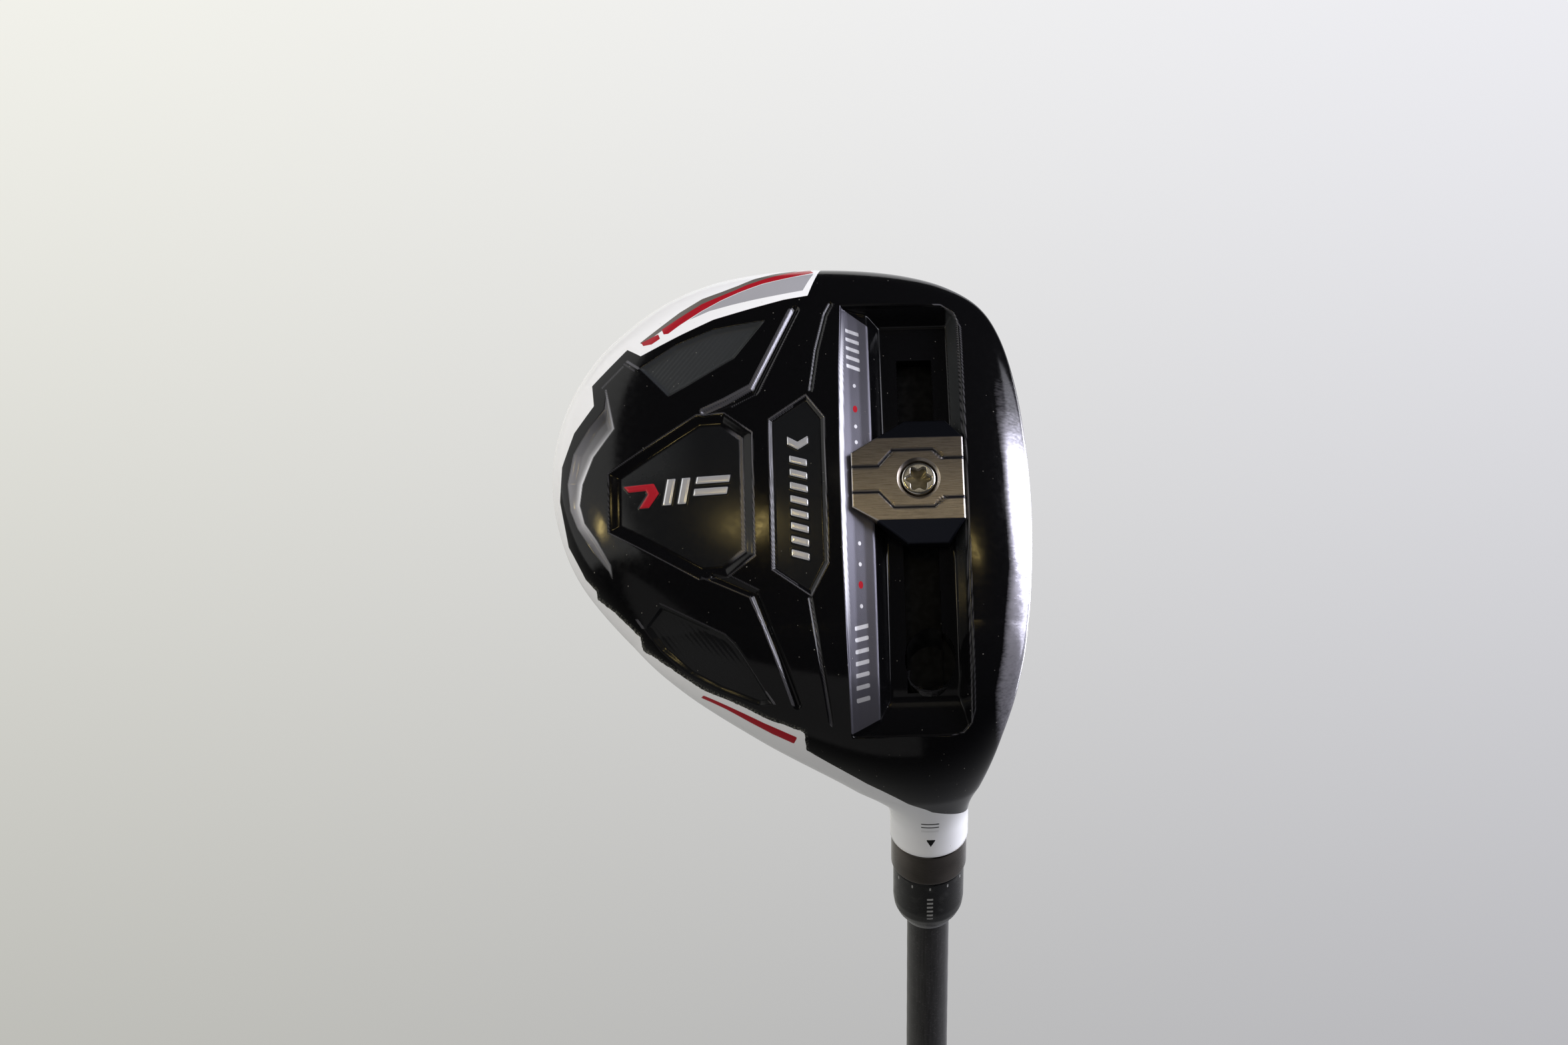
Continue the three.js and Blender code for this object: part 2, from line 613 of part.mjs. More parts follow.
// ---------------------------------------------------------------- sleeve, shaft and grip
function loftSleeve() {
  const outer = revolve([
    [0, 33.9], [6.2, 33.9], [6.2, HOSEL_TOP + GAP], [7.3, HOSEL_TOP + GAP], [7.55, 56.6],
    [7.55, 64.1], [7.3, 64.4], [6, 64.4], [6, 77], [0, 77],
  ], 28);
  return outer
    .add(toothedRing(4.6, 5.2, 27, 34, 0))
    .subtract(rod(SHAFT_TIP_R + GAP, 33, 90))
    .subtract(rod(2.8, 20, 34));
}

function shaftTube() {
  const top = CLUB_LENGTH - 3.2;
  const outer = [
    [SHAFT_TIP_R, SHAFT_TIP], [4.27, 120], [5.1, 400], [6.3, 760], [7.2, 960], [SHAFT_BUTT_R, top],
  ];
  const inner = [...outer].reverse().map(([r, l]) => [r - (l < 200 ? 1.35 : 1), l]);
  return revolve([...outer, ...inner], 28);
}

const shaftRadius = (l) => (l < 960 ? 6.3 + ((l - 760) * 0.9) / 200 : 7.2 + ((l - 960) * 0.4) / 135.4);

function alongShaft(points, low, high, inner, segments = 24) {
  const stations = [low, 960, high];
  const inside = stations.map((l) => [shaftRadius(l) + inner, l]).reverse();
  return revolve([...points, ...inside], segments);
}

function grip() {
  const outer = [
    [8.3, GRIP_MOUTH], [8.9, GRIP_MOUTH + 0.6], [9, GRIP_MOUTH + 6], [9.7, 880], [10.5, 950],
    [11.6, 1020], [12.9, 1070], [13.2, CLUB_LENGTH - 6],
  ];
  return alongShaft(outer, GRIP_MOUTH, CLUB_LENGTH - 6, 0.9);
}

function gripTape() {
  const [low, high] = [GRIP_MOUTH + 2, CLUB_LENGTH - 8];
  const outer = [low, 960, high].map((l) => [shaftRadius(l) + 0.6, l]);
  return alongShaft(outer, low, high, 0.3);
}

const gripCap = () => revolve([
  [0, CLUB_LENGTH - 2.6], [8.2, CLUB_LENGTH - 2.6], [8.2, CLUB_LENGTH - 5.7],
  [13.3, CLUB_LENGTH - 5.7], [13.7, CLUB_LENGTH - 5.2], [13.7, CLUB_LENGTH - 1.8],
  [12.8, CLUB_LENGTH - 0.5], [11.5, CLUB_LENGTH], [0, CLUB_LENGTH],
], 28);

// ---------------------------------------------------------------- assembly
const PIECES = [
  ['head_body', headBody, 0x111114, 0.22, 0.6],
  ['crown_shell', crownShell, 0xe9e9ec, 0.2, 0.1],
  ['face_plate', facePlate, 0x3b3c40, 0.45, 0.8],
  ['hosel_insert', hoselInsert, 0x9a9ca0, 0.4, 0.9],
  ['screw_retainer', () => tube(4.1, PORT_R - GAP, 13.6, 14.8), 0x6d6f73, 0.5, 0.8],
  ['hosel_screw', hoselScrew, 0x8c8e92, 0.35, 0.9],
  ['screw_washer', () => tube(2.8, 4.3, 20.3, 21.3), 0xa4a6aa, 0.35, 0.9],
  ['weight_block', () => inTrack(weightBlock()), 0x8b8172, 0.35, 0.9],
  ['clamp_plate', () => inTrack(clampPlate()), 0x77797d, 0.4, 0.9],
  ['weight_screw', () => inTrack(weightScrew()), 0x99917f, 0.3, 0.95],
  ['loft_sleeve', loftSleeve, 0x5c5d61, 0.35, 0.8],
  ['ferrule', () => revolve([
    [6.3, 64.7], [6.9, 64.7], [7.1, 65], [7.1, 74], [6.9, 76], [6.2, 77.8], [5.3, 78.6],
    [4.55, 78.6], [4.55, 77.3], [6.3, 77.3],
  ], 40), 0x141416, 0.3, 0],
  ['trim_ring', () => tube(SHAFT_TIP_R + GAP, 5.1, 78.9, 79.8), 0x8a8c90, 0.35, 0.7],
  ['shaft', shaftTube, 0x2c2d31, 0.3, 0.3],
  ['tip_plug', () => rod(2.6, 33.6, 41, 24), 0xb9b3a4, 0.8, 0],
  ['grip_tape', gripTape, 0xd8d2bf, 0.9, 0],
  ['grip', grip, 0x18181a, 0.85, 0],
  ['grip_cap', gripCap, 0x1d1d20, 0.8, 0],
];

function meshOf(name, made, colour, roughness, metalness) {
  const { vertProperties, triVerts, numProp } = made.getMesh();
  const positions = new Float32Array((vertProperties.length / numProp) * 3);
  for (let i = 0; i < positions.length / 3; i += 1) {
    for (let k = 0; k < 3; k += 1) positions[3 * i + k] = vertProperties[i * numProp + k];
  }
  const geometry = new THREE.BufferGeometry();
  geometry.setAttribute('position', new THREE.BufferAttribute(positions, 3));
  geometry.setIndex(new THREE.BufferAttribute(new Uint32Array(triVerts), 1));
  geometry.computeVertexNormals();
  const material = new THREE.MeshStandardMaterial({ color: colour, roughness, metalness });
  const mesh = new THREE.Mesh(geometry, material);
  mesh.name = name;
  return mesh;
}

const club = new THREE.Group();
club.name = 'fairway_wood';
PIECES.forEach(([name, make, colour, roughness, metalness]) => {
  club.add(meshOf(name, make(), colour, roughness, metalness));
});

export default club;
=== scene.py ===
import math

import bpy
import numpy as np
from mathutils import Matrix, Vector


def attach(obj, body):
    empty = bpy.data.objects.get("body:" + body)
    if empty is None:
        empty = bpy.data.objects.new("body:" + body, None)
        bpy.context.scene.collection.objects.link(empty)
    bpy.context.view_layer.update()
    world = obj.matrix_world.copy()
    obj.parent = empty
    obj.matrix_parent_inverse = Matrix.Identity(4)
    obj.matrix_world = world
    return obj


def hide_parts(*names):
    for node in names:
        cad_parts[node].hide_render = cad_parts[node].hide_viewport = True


# Fairway wood. The head is laid out in the head frame, in millimetres: the club is soled at its
# lie angle, the shaft axis meets the ground at the origin, +X is the target side, -Y the toe,
# +Y the heel and +Z up. Parts on the shaft use the distance along the shaft from the ground.
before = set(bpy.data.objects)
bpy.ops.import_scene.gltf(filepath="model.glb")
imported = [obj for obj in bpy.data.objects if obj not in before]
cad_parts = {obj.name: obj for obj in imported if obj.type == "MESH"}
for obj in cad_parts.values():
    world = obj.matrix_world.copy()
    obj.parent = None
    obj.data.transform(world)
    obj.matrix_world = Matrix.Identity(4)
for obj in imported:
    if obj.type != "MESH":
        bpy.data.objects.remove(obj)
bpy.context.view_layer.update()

# ---------------------------------------------------------------- driving dimensions, mm
CLUB = 1098.6
LIE = math.radians(58)
TILT = math.pi / 2 - LIE
TILT_COS, TILT_SIN = math.cos(TILT), math.sin(TILT)
BEND_Y = -1.4
MID_HEIGHT = 20.0
BEND_RADIUS = 25.0
BEND_END = BEND_RADIUS * LIE

TRACK_R = 160.0
TRACK_Y = -26.0
TRACK_TOE = -66.8
TRACK_HEEL = 20.5
FLOOR_DEPTH = 5.5
PORT_SEAT = 21.6
PORT_R = 4.9
PORT_REACH = 5.75        # half the length of its slanting mouth, along y
HOSEL_TOP = 43.9
HOSEL_R = 7.8           # the radius that the print on the hosel is laid out at
WEIGHT_OFFSET = -3.2

# s; back; sole; lead; top; crown; round: the CAD's table, with the rear of the heel drawn in
STATIONS = np.array([
    [-76.6, -21, 17, -21, 17, -21, 17, -21, 17, -21, 17, 1],
    [-76.0, -32, 17, -21, 13.2, -10, 16, -13, 21, -22, 21.5, 0.9],
    [-74.0, -42, 17, -20, 9.8, -1, 14, -4.5, 24.3, -19, 25.3, 0.5],
    [-70.6, -50, 17, -17, 7, 6.5, 11.6, 1.5, 27.4, -14, 29, 0.2],
    [-65.6, -57.2, 17, -12, 5.2, 12.3, 9.2, 6, 30, -10, 32, 0],
    [-58.6, -64.3, 17, -8, 3.7, 15.9, 7.4, 8.9, 31.8, -7, 34, 0],
    [-48.6, -70, 17, -5, 1.9, 18.4, 6.2, 11, 33.2, -5, 36, 0],
    [-36.6, -72.8, 17, -4, 0.5, 19.9, 5.6, 12.1, 34.1, -4, 37, 0],
    [-24.6, -71.8, 17, -4, 0, 20.5, 5.5, 12.6, 34.4, -4, 37.4, 0],
    [-12.6, -67.2, 17, -4, 0.5, 20.2, 5.8, 12.5, 34.2, -4, 37.2, 0],
    [0, -57.2, 17, -4, 1.9, 19, 7, 12, 33.6, -4, 36.8, 0],
    [8, -47.8, 17, -4, 2.8, 16.7, 8.4, 11, 32.6, -4, 36, 0.12],
    [16, -34.3, 17.4, -3, 5.2, 13.2, 10.8, 9.4, 31, -3, 34.2, 0.4],
    [24, -19.6, 18.2, -1.6, 8.2, 10.2, 14.2, 7.6, 29, -1.6, 31.6, 0.75],
    [31, -10.5, 19.2, -0.4, 10.6, 8.4, 17.6, 6.4, 27.4, -0.4, 29, 0.95],
    [36, -8.2, 19.9, 0, 11.9, 7.8, 19.6, 6, 27, 0, 28, 1],
    [40, -7.8, 20, 0, 12.2, 7.8, 20, 6, 27, 0, 27.8, 1],
    [43.9, -7.8, 20, 0, 12.2, 7.8, 20, 6, 27, 0, 27.8, 1],
], float)


def row(points):
    """Head frame in millimetres to the row frame in metres."""
    p = np.asarray(points, float)
    x, y, z = p[..., 0], p[..., 1], p[..., 2]
    return np.stack([x, y * TILT_COS - z * TILT_SIN, y * TILT_SIN + z * TILT_COS - CLUB],
                    -1) / 1000


def row_direction(direction):
    """Head frame direction turned into the row frame."""
    x, y, z = direction
    return Vector((x, y * TILT_COS - z * TILT_SIN, y * TILT_SIN + z * TILT_COS))


# ---------------------------------------------------------------- outer form of the head
def stations(position):
    """Catmull-Rom rows of the station table at fractional positions."""
    before = 2 * STATIONS[0] - STATIONS[1]
    before[0] = STATIONS[1, 0]
    after = 2 * STATIONS[-1] - STATIONS[-2]
    table = np.vstack([before, STATIONS, after])
    position = np.asarray(position, float)
    i = np.clip(np.floor(position).astype(int), 0, len(STATIONS) - 2)
    t = (position - i)[:, None]
    p0, p1, p2, p3 = table[i], table[i + 1], table[i + 2], table[i + 3]
    return 0.5 * (2 * p1 + (p2 - p0) * t + (2 * p0 - 5 * p1 + 4 * p2 - p3) * t ** 2
                  + (3 * p1 - p0 - 3 * p2 + p3) * t ** 3)


def bezier(a, b, c, d, t):
    t = t[None, :, None]
    u = 1 - t
    a, b, c, d = (np.asarray(p)[:, None, :] for p in (a, b, c, d))
    return u ** 3 * a + 3 * u * u * t * b + 3 * u * t * t * c + t ** 3 * d


def shifted(p, x, v):
    return np.stack([p[:, 0] + x, p[:, 1] + v], -1)


def between(p, q, t):
    return p + (q - p) * t


ROUND_K = 0.5523      # handles that make a Bezier quarter nearly an ellipse
CROWN_FALL = 0.24     # slope of the crown at the top line, in radians


def quarter(a, b, t, upright, start=ROUND_K, end=ROUND_K):
    """Quarter oval that leaves a upright and meets b level, or the reverse."""
    x, v = (b - a).T
    if upright:
        return bezier(a, shifted(a, 0, start * v), shifted(b, -end * x, 0), b, t)
    return bezier(a, shifted(a, start * x, 0), shifted(b, 0, -end * v), b, t)


def head_section(st, span, t):
    back, sole, lead, top = (st[:, k:k + 2] for k in (1, 3, 5, 7))
    if span == 0:
        return quarter(back, sole, t, True, 0.55, 0.62)
    if span == 1:
        return quarter(sole, lead, t, False, 0.6, 0.5)
    height = np.hypot(*(top - lead).T)
    edge = np.minimum(3, 0.12 * height)
    below = between(top, lead, (edge / np.maximum(height, 1e-6))[:, None])
    behind = shifted(top, -edge * math.cos(CROWN_FALL), edge * math.sin(CROWN_FALL))
    if span == 2:
        return bezier(lead, shifted(lead, 0.02 * height, 0.16 * height),
                      between(below, lead, 0.3), below, t)
    if span == 3:
        return bezier(below, between(below, top, 0.6), between(behind, top, 0.6), behind, t)
    reach = 0.3 * (top[:, 0] - back[:, 0])
    return bezier(behind, shifted(behind, -reach, reach * math.tan(CROWN_FALL)),
                  shifted(back, 0, 0.45 * (top[:, 1] - back[:, 1])), back, t)


def oval_section(st, span, t):
    back, sole, lead, crown = (st[:, k:k + 2] for k in (1, 3, 5, 9))
    if span == 0:
        return quarter(back, sole, t, True)
    if span == 1:
        return quarter(sole, lead, t, False)
    if span == 2:
        return quarter(lead, crown, 0.55 * t, True)
    if span == 3:
        return quarter(lead, crown, 0.55 + 0.15 * t, True)
    u = 1.3 * t
    first = quarter(lead, crown, np.clip(0.7 + u, 0, 1), True)
    second = quarter(crown, back, np.clip(u - 0.3, 0, 1), False)
    return np.where((u < 0.3)[None, :, None], first, second)


def section(st, span, t):
    blend = np.clip(st[:, 11], 0, 1)[:, None, None]
    t = np.asarray(t, float)
    return head_section(st, span, t) * (1 - blend) + oval_section(st, span, t) * blend


def bent(s, x, v):
    """Straight head sections bent round the heel and up the hosel."""
    n = v - MID_HEIGHT
    angle = np.clip(s / BEND_RADIUS, 0, LIE)
    beyond = np.maximum(s - BEND_END, 0)
    y = BEND_Y + np.minimum(s, 0) + BEND_RADIUS * np.sin(angle) + beyond * np.cos(angle)
    z = MID_HEIGHT + BEND_RADIUS * (1 - np.cos(angle)) + beyond * np.sin(angle)
    return np.stack([x + 0 * y, y - n * np.sin(angle), z + n * np.cos(angle)], -1)


def form(positions, columns):
    """Points of the outer form. columns is a list of (span, t array)."""
    st = stations(positions)
    ring = np.concatenate([section(st, span, t) for span, t in columns], 1)
    return bent(st[:, :1] + 0 * ring[..., 0], ring[..., 0], ring[..., 1])


def positions_at(lengths):
    """Station positions for distances s along the head."""
    dense = np.linspace(0, len(STATIONS) - 1, 4000)
    return np.interp(lengths, stations(dense)[:, 0], dense)


def even_steps(span, count):
    """count + 1 values of t, evenly spaced along the span of the middle section."""
    dense = np.linspace(0, 1, 800)
    line = section(stations([8.0]), span, dense)[0]
    run = np.concatenate([[0], np.cumsum(np.hypot(*np.diff(line, axis=0).T))])
    return np.interp(np.linspace(0, run[-1], count + 1), run, dense)


# ---------------------------------------------------------------- plan distances
def near(p, line):
    """Distance to an open line of points."""
    nearest = np.full(len(p), np.inf)
    for (ax, ay), (bx, by) in zip(line, line[1:]):
        ex, ey = bx - ax, by - ay
        wx, wy = p[:, 0] - ax, p[:, 1] - ay
        t = np.clip((wx * ex + wy * ey) / (ex * ex + ey * ey), 0, 1)
        nearest = np.minimum(nearest, (wx - t * ex) ** 2 + (wy - t * ey) ** 2)
    return np.sqrt(nearest)


def inside(p, outline):
    """Distance in from the edge of a closed outline, negative outside."""
    line = np.array([*outline, outline[0]], float)
    within = np.zeros(len(p), bool)
    for (ax, ay), (bx, by) in zip(line, line[1:]):
        if by != ay:
            crossed = p[:, 0] - ax < (p[:, 1] - ay) * (bx - ax) / (by - ay)
            within ^= ((ay <= p[:, 1]) != (by <= p[:, 1])) & crossed
    return np.where(within, 1, -1) * near(p, line)


def ramp(d, width):
    return np.clip(d / width, 0, 1)


def band(d, low, high):
    """1 between two values and 0 outside them."""
    return np.minimum(ramp(d - low, 0.1), ramp(high - d, 0.1))


def soft(d, width):
    t = ramp(d, width)
    return t * t * (3 - 2 * t)


def any_of(distances):
    return np.max(np.stack(distances), 0)


# ---------------------------------------------------------------- layout of the sole
REAR_PAD = [(-61.5, -34), (-44, -44.5), (-38.5, -44.5), (-33, -40),
            (-33, -15), (-38.5, -11), (-44, -11), (-61.5, -22)]
NAME_PANEL = [(-30, -42.5), (-22.5, -47.5), (-19, -42.5), (-19, -13), (-22.5, -6.5), (-30, -12)]
TOE_PANEL = [(-55.2, -55.8), (-49.5, -48.9), (-45.9, -50.7), (-36.4, -56.1), (-30, -64.3),
             (-40.4, -63.0), (-48, -60.2)]
HEEL_PANEL = [(-55, -3.5), (-51.5, -7), (-39.1, -0.3), (-37.2, 1.5), (-30.2, 12.9), (-33.3, 12.9),
              (-40.6, 9.6), (-46.4, 6.2), (-51.7, 1.2)]
REAR_SCOOP = [(-62.1, -47.9), (-65.3, -44.2), (-68.4, -39.2), (-69.6, -33.3), (-69.1, -27.8),
              (-67.7, -24), (-64.8, -19.2), (-61.6, -14.7), (-60.8, -12.8), (-61.2, -16),
              (-63.8, -21), (-66.2, -24.8), (-67.1, -28.5), (-66.5, -32.6), (-64.3, -37.8),
              (-60.1, -43.2), (-61.7, -51.9)]
WIDE_GROOVES = [
    [(-24.1, -66.3), (-32.7, -48.4), (-38.1, -46.2), (-42.3, -44.8)],
    [(-41.2, -11.6), (-33.4, -7.7), (-25.7, 13.3)],
]
FINE_GROOVES = [
    [(-17.1, -67.2), (-18.2, -65), (-20.2, -57), (-21.6, -48.2)],
    [(-22.8, -6.4), (-21.2, 5.2), (-19.3, 16.5)],
]
GROOVE_LINES = [        # painted highlights along the edges of the grooves, in satiny metal: points, half width, strength
    ([(-25.1, -66), (-33.2, -49.6)], 0.5, 1.0),
    ([(-23.4, -66), (-31.6, -48.4), (-37, -45.6)], 0.12, 0.55),
    ([(-33.2, -49.6), (-38.4, -46.9), (-42.6, -45.1)], 0.7, 0.4),
    ([(-17.5, -67.2), (-18.6, -65), (-20.6, -57), (-21.7, -48.2)], 0.16, 0.6),
    ([(-16.5, -67.2), (-17.8, -64.7), (-19.8, -56.8), (-21.1, -48.4)], 0.1, 0.35),
    ([(-34.2, -7), (-31.9, -1.4), (-29.8, 4.4), (-26.6, 13.2)], 0.22, 1.0),
    ([(-38.1, -11.5), (-32.6, -8.4)], 0.14, 0.3),
    ([(-43.5, -11.5), (-34.2, -7)], 0.14, 0.3),
    ([(-22.8, -6.4), (-20.9, 6.9), (-19.4, 17)], 0.18, 0.8),
    ([(-57.5, -57.8), (-55.3, -55.9)], 0.25, 1.0),
    ([(-58.1, -57.3), (-56.1, -55.5)], 0.15, 0.7),
    ([(-62.5, -52.7), (-58.4, -56.7)], 0.2, 0.4),
    ([(-61.8, -51.9), (-60.3, -43.4)], 0.2, 0.9),
    ([(-51.6, -7.4), (-39.3, -0.5), (-37, 2.4), (-30.9, 12)], 0.14, 0.25),
    ([(-31.6, 10.8), (-30.2, 12.7)], 0.22, 0.9),
    ([(-56.3, -5.2), (-55.2, -3.6)], 0.2, 1.0),
]
CHANNEL = [(-15.3, -66.9), (4.6, -66.9), (7.1, -65), (8.3, -61.6), (8.3, 15), (7.6, 17.2),
           (6, 18.8), (3.4, 19.4), (-15.5, 19.4), (-16, 4), (-16.4, -15), (-16.4, -35), (-16, -53)]
SLOT = [(-4.5, -56), (2.3, -56), (2.3, 11), (-4.5, 11)]
BLACK = [(-21.6, -69.4), (-26.3, -68.7), (-33.6, -66.9), (-40.3, -65.2), (-47, -62.3),
         (-54.8, -58.6), (-57.5, -60.6), (-64.6, -53.6), (-64.2, -48.9), (-68.2, -43.8),
         (-70.7, -37.2), (-71.2, -30.3), (-69.6, -21.2), (-66.3, -14.4), (-64.2, -11.8),
         (-64, -10.4), (-60.7, -7.4), (-55.8, -2.2), (-55.4, 0), (-47.6, 6.1), (-43.5, 9),
         (-37.6, 11.9), (-31.2, 15.2), (-24.5, 17.8), (-24.1, 21.4), (-24.1, 70), (50, 70),
         (50, -95), (-16.5, -95), (-18.6, -77.5)]
RED_BLADE = [(-19, -77.6), (-24.7, -76.2), (-29.2, -74.7), (-33.6, -73), (-35.8, -71.9),
             (-42.6, -69.2), (-47, -66.5), (-50.6, -64.2), (-50.2, -63), (-49.3, -63),
             (-47, -64.7), (-42.6, -67.5), (-38.7, -69.6), (-35.1, -71.2), (-30.4, -73),
             (-24.5, -74.5), (-19.7, -75.8)]
RED_TAIL = [(-51.3, -63.2), (-50.9, -62.1), (-52.6, -61), (-54.3, -60.9), (-54.7, -61.7)]
GREY_PANEL = [(-20.2, -75.4), (-22.5, -70.7), (-27.4, -69.9), (-32.3, -69.1), (-36.6, -68.3),
              (-41.1, -67.3), (-45.3, -65.6), (-42.6, -67.4), (-38.7, -69.5), (-35.1, -71.1),
              (-30.4, -72.9), (-24.5, -74.4)]
TAUPE_WEDGE = [(-22, -77.4), (-28, -76), (-32.2, -74.6), (-35.4, -73), (-38.5, -71.8),
               (-42.5, -70.5), (-47, -67.8), (-55, -61.7), (-54.3, -61.3), (-50.6, -63.9),
               (-45.6, -67.1), (-35.8, -71.8), (-29.2, -74.6), (-24.7, -76.1)]
RED_HEEL = [(-44.3, 9.8), (-43.8, 9.6), (-37.6, 12.8), (-32.3, 15.5), (-27.5, 17.7),
            (-25.9, 18.4), (-26.6, 19.2), (-30.7, 17.3), (-34.8, 15.1), (-39.5, 12.4)]
HOSEL_EDGE = ((0.54, 0.6, 0.7, 0.909, 1.05, 1.35, 1.767, 2),
              (15.5, 17.7, 21.2, 25.9, 28.7, 31.2, 35, 36.4))
STRIP_PROFILE = ((-16.3, -15.9, -14, -12, -10.15, -9.9, -7.9, -7.6, 5.4, 5.6, 7.55, 7.65, 8.05,
                  8.3), (0.3, 0.6, 1.45, 2.1, 2.5, 2.75, 5.3, 5.5, 5.5, 5.3, 1.25, 0.95, 0.8, 0.3))
PAD_DEPTH = 0.7
PANEL_DEPTH = 0.55
HATCH_DEPTH = 0.8
PORT_AXIS_Y = 4.7
SCOOP_INNER_EDGE = REAR_SCOOP[8:]      # the side of the scoop nearest the pad
SCOOP_DEPTH = 0.9
# along y: the x where the rubbed leading edge begins, and how strongly it is rubbed through to
# metal, which is graded as a painted highlight that fades towards both ends
EDGE_PLACE = ((-60, -45, -31.7, -12, 4.9, 12), (12.6, 14, 15.4, 15.9, 13.8, 12.2))
EDGE_WEAR_AND_HIGHLIGHT = ((-64, -52, -44, -38, -32, -14, -4, 6, 16, 24),
             (0, 0.04, 0.14, 0.5, 1, 1, 0.75, 0.5, 0.3, 0))


def track_line(y):
    rise = TRACK_R - np.sqrt(TRACK_R ** 2 - np.clip(y - TRACK_Y, -90, 90) ** 2)
    return rise + np.where(y > 8, 0.03 * (y - 8) ** 2, 0)


def slanted_bars(x, y0, y1, count, width, height, lean):
    """A row of slanted bars along y, standing in for lettering."""
    h, w = height / 2, width / 2
    middles = [y0 + (y1 - y0) * (k + 0.5) / count for k in range(count)]
    return [[(x - h, y - w - lean), (x + h, y - w + lean), (x + h, y + w + lean),
             (x - h, y + w - lean)] for y in middles]


PANEL_BARS = slanted_bars(-24.4, -35, -13.4, 8, 1.35, 3.3, 0.5)
PANEL_CHEVRON = [(-26.4, -38.8), (-24.4, -37.6), (-22.4, -38.8), (-22.4, -37.2), (-24.4, -36),
                 (-26.4, -37.2)]
PAD_BARS = [
    [(-49.9, -31.6), (-48.3, -31.6), (-49.3, -26.4), (-50.9, -26.4)],
    [(-47.0, -31.6), (-45.4, -31.6), (-46.4, -26.4), (-48.0, -26.4)],
    [(-44.1, -31.6), (-37.6, -31.6), (-37.9, -30.2), (-44.4, -30.2)],
    [(-44.6, -29.2), (-38.1, -29.2), (-38.4, -27.8), (-44.9, -27.8)],
]
PAD_CHEVRON = [(-58.6, -31.0), (-52.6, -31.0), (-51.6, -28.9), (-53.6, -26.2), (-55.6, -26.2),
               (-53.8, -28.9), (-54.2, -29.7), (-57.6, -29.7)]
STRIP_BARS = (slanted_bars(-13.1, -62.2, -52.4, 5, 0.8, 2.6, 0.4)
              + slanted_bars(-13.1, -1.8, 13.8, 7, 0.8, 2.6, -0.4))
STRIP_DOTS = [-49.4, -40.7, -37.4, -16.9, -12.8, -4.7]
STRIP_RED = [-44.4, -8.8]
STRIP_DOT_X = -13        # the line of dots along the scale strip
SILVER_MARKS = PANEL_BARS + [PANEL_CHEVRON] + PAD_BARS


def dots(p, ys, rx, ry):
    """Distance in from the edges of the dots of the scale strip."""
    return any_of([ry * (1 - np.hypot((p[:, 0] - STRIP_DOT_X) / rx, (p[:, 1] - y) / ry))
                   for y in ys])


def hatch_wave(p, direction, pitch):
    """Rounded parallel grooves, 0 to 1."""
    along = p[:, 0] * direction[0] + p[:, 1] * direction[1]
    return 0.5 + 0.5 * np.cos(2 * math.pi * along / pitch)


def groove(p, line, half, depth):
    return depth * (0.5 + 0.5 * np.cos(math.pi * ramp(near(p, line), half)))


def lower_of(a, b, width):
    """The lower of two heights, with the corner between them rounded."""
    h = np.clip(0.5 + 0.5 * (b - a) / width, 0, 1)
    return b + (a - b) * h - width * h * (1 - h)


def rounded_profile(x, profile, radius):
    """A profile's height at x, averaged over a small width, which rounds its corners."""
    taps = np.linspace(-radius, radius, 9)
    return np.mean([np.interp(x + tap, *profile) for tap in taps], 0)


def sole_depth(p):
    """Depth of the pads, panels, grooves and raised marks at plan points."""
    toe, heel = inside(p, TOE_PANEL), inside(p, HEEL_PANEL)
    depth = PAD_DEPTH * soft(inside(p, REAR_PAD) + 0.1, 2.5)
    for d, deep, width in ((inside(p, NAME_PANEL), PANEL_DEPTH, 1.1), (toe, HATCH_DEPTH, 1),
                           (heel, HATCH_DEPTH, 1), (inside(p, REAR_SCOOP), SCOOP_DEPTH, 1.7)):
        depth = np.maximum(depth, deep * soft(d + 0.1, width))
    depth += 0.06 * hatch_wave(p, (0.77, 0.64), 0.8) * soft(toe - 0.9, 0.3)
    depth += 0.02 * hatch_wave(p, (0.8, -0.6), 0.8) * soft(heel - 0.9, 0.3)
    for lines, half, deep in ((WIDE_GROOVES, 1.05, 0.6), (FINE_GROOVES, 0.6, 0.35)):
        for line in lines:
            depth = np.maximum(depth, groove(p, line, half, deep))
    raised = any_of([inside(p, mark) for mark in (*SILVER_MARKS, PAD_CHEVRON)])
    return depth - 0.22 * soft(raised + 0.2, 0.4)


def channel_drop(p, height):
    """Extra height of the channel's walls and floor over the plain sole."""
    x, y = p[:, 0], p[:, 1]
    profile = rounded_profile(x, STRIP_PROFILE, 0.25)
    ends = np.minimum(0.45 + (y - TRACK_TOE) * 1.5, 0.45 + (TRACK_HEEL - y) * 0.6)
    target = track_line(y) + lower_of(profile, np.maximum(ends, 0), 0.4)
    return np.maximum(target - height, 0) * soft(inside(p, CHANNEL), 0.35)


def port_inside(p):
    """Distance in from the rim of the screw port, where it breaks through the channel floor."""
    return PORT_R * (1 - np.hypot(p[:, 0] / PORT_R, (p[:, 1] - PORT_AXIS_Y) / PORT_REACH))


# ---------------------------------------------------------------- meshes
def outward(grid, axis, sign):
    """Unit normals of a grid, turned so that the middle one points along the signed axis."""
    normals = np.cross(np.gradient(grid, axis=0), np.gradient(grid, axis=1))
    normals /= np.maximum(np.linalg.norm(normals, axis=-1, keepdims=True), 1e-9)
    middle = normals[grid.shape[0] // 2, grid.shape[1] // 2]
    return normals if middle[axis] * sign > 0 else -normals


def grid_quads(rows, columns, closed=False):
    i = np.arange(rows - 1)[:, None]
    j = np.arange(columns if closed else columns - 1)[None, :]
    k = (j + 1) % columns
    quads = [i * columns + j, (i + 1) * columns + j, (i + 1) * columns + k, i * columns + k]
    return np.stack([q.ravel() for q in np.broadcast_arrays(*quads)], -1)


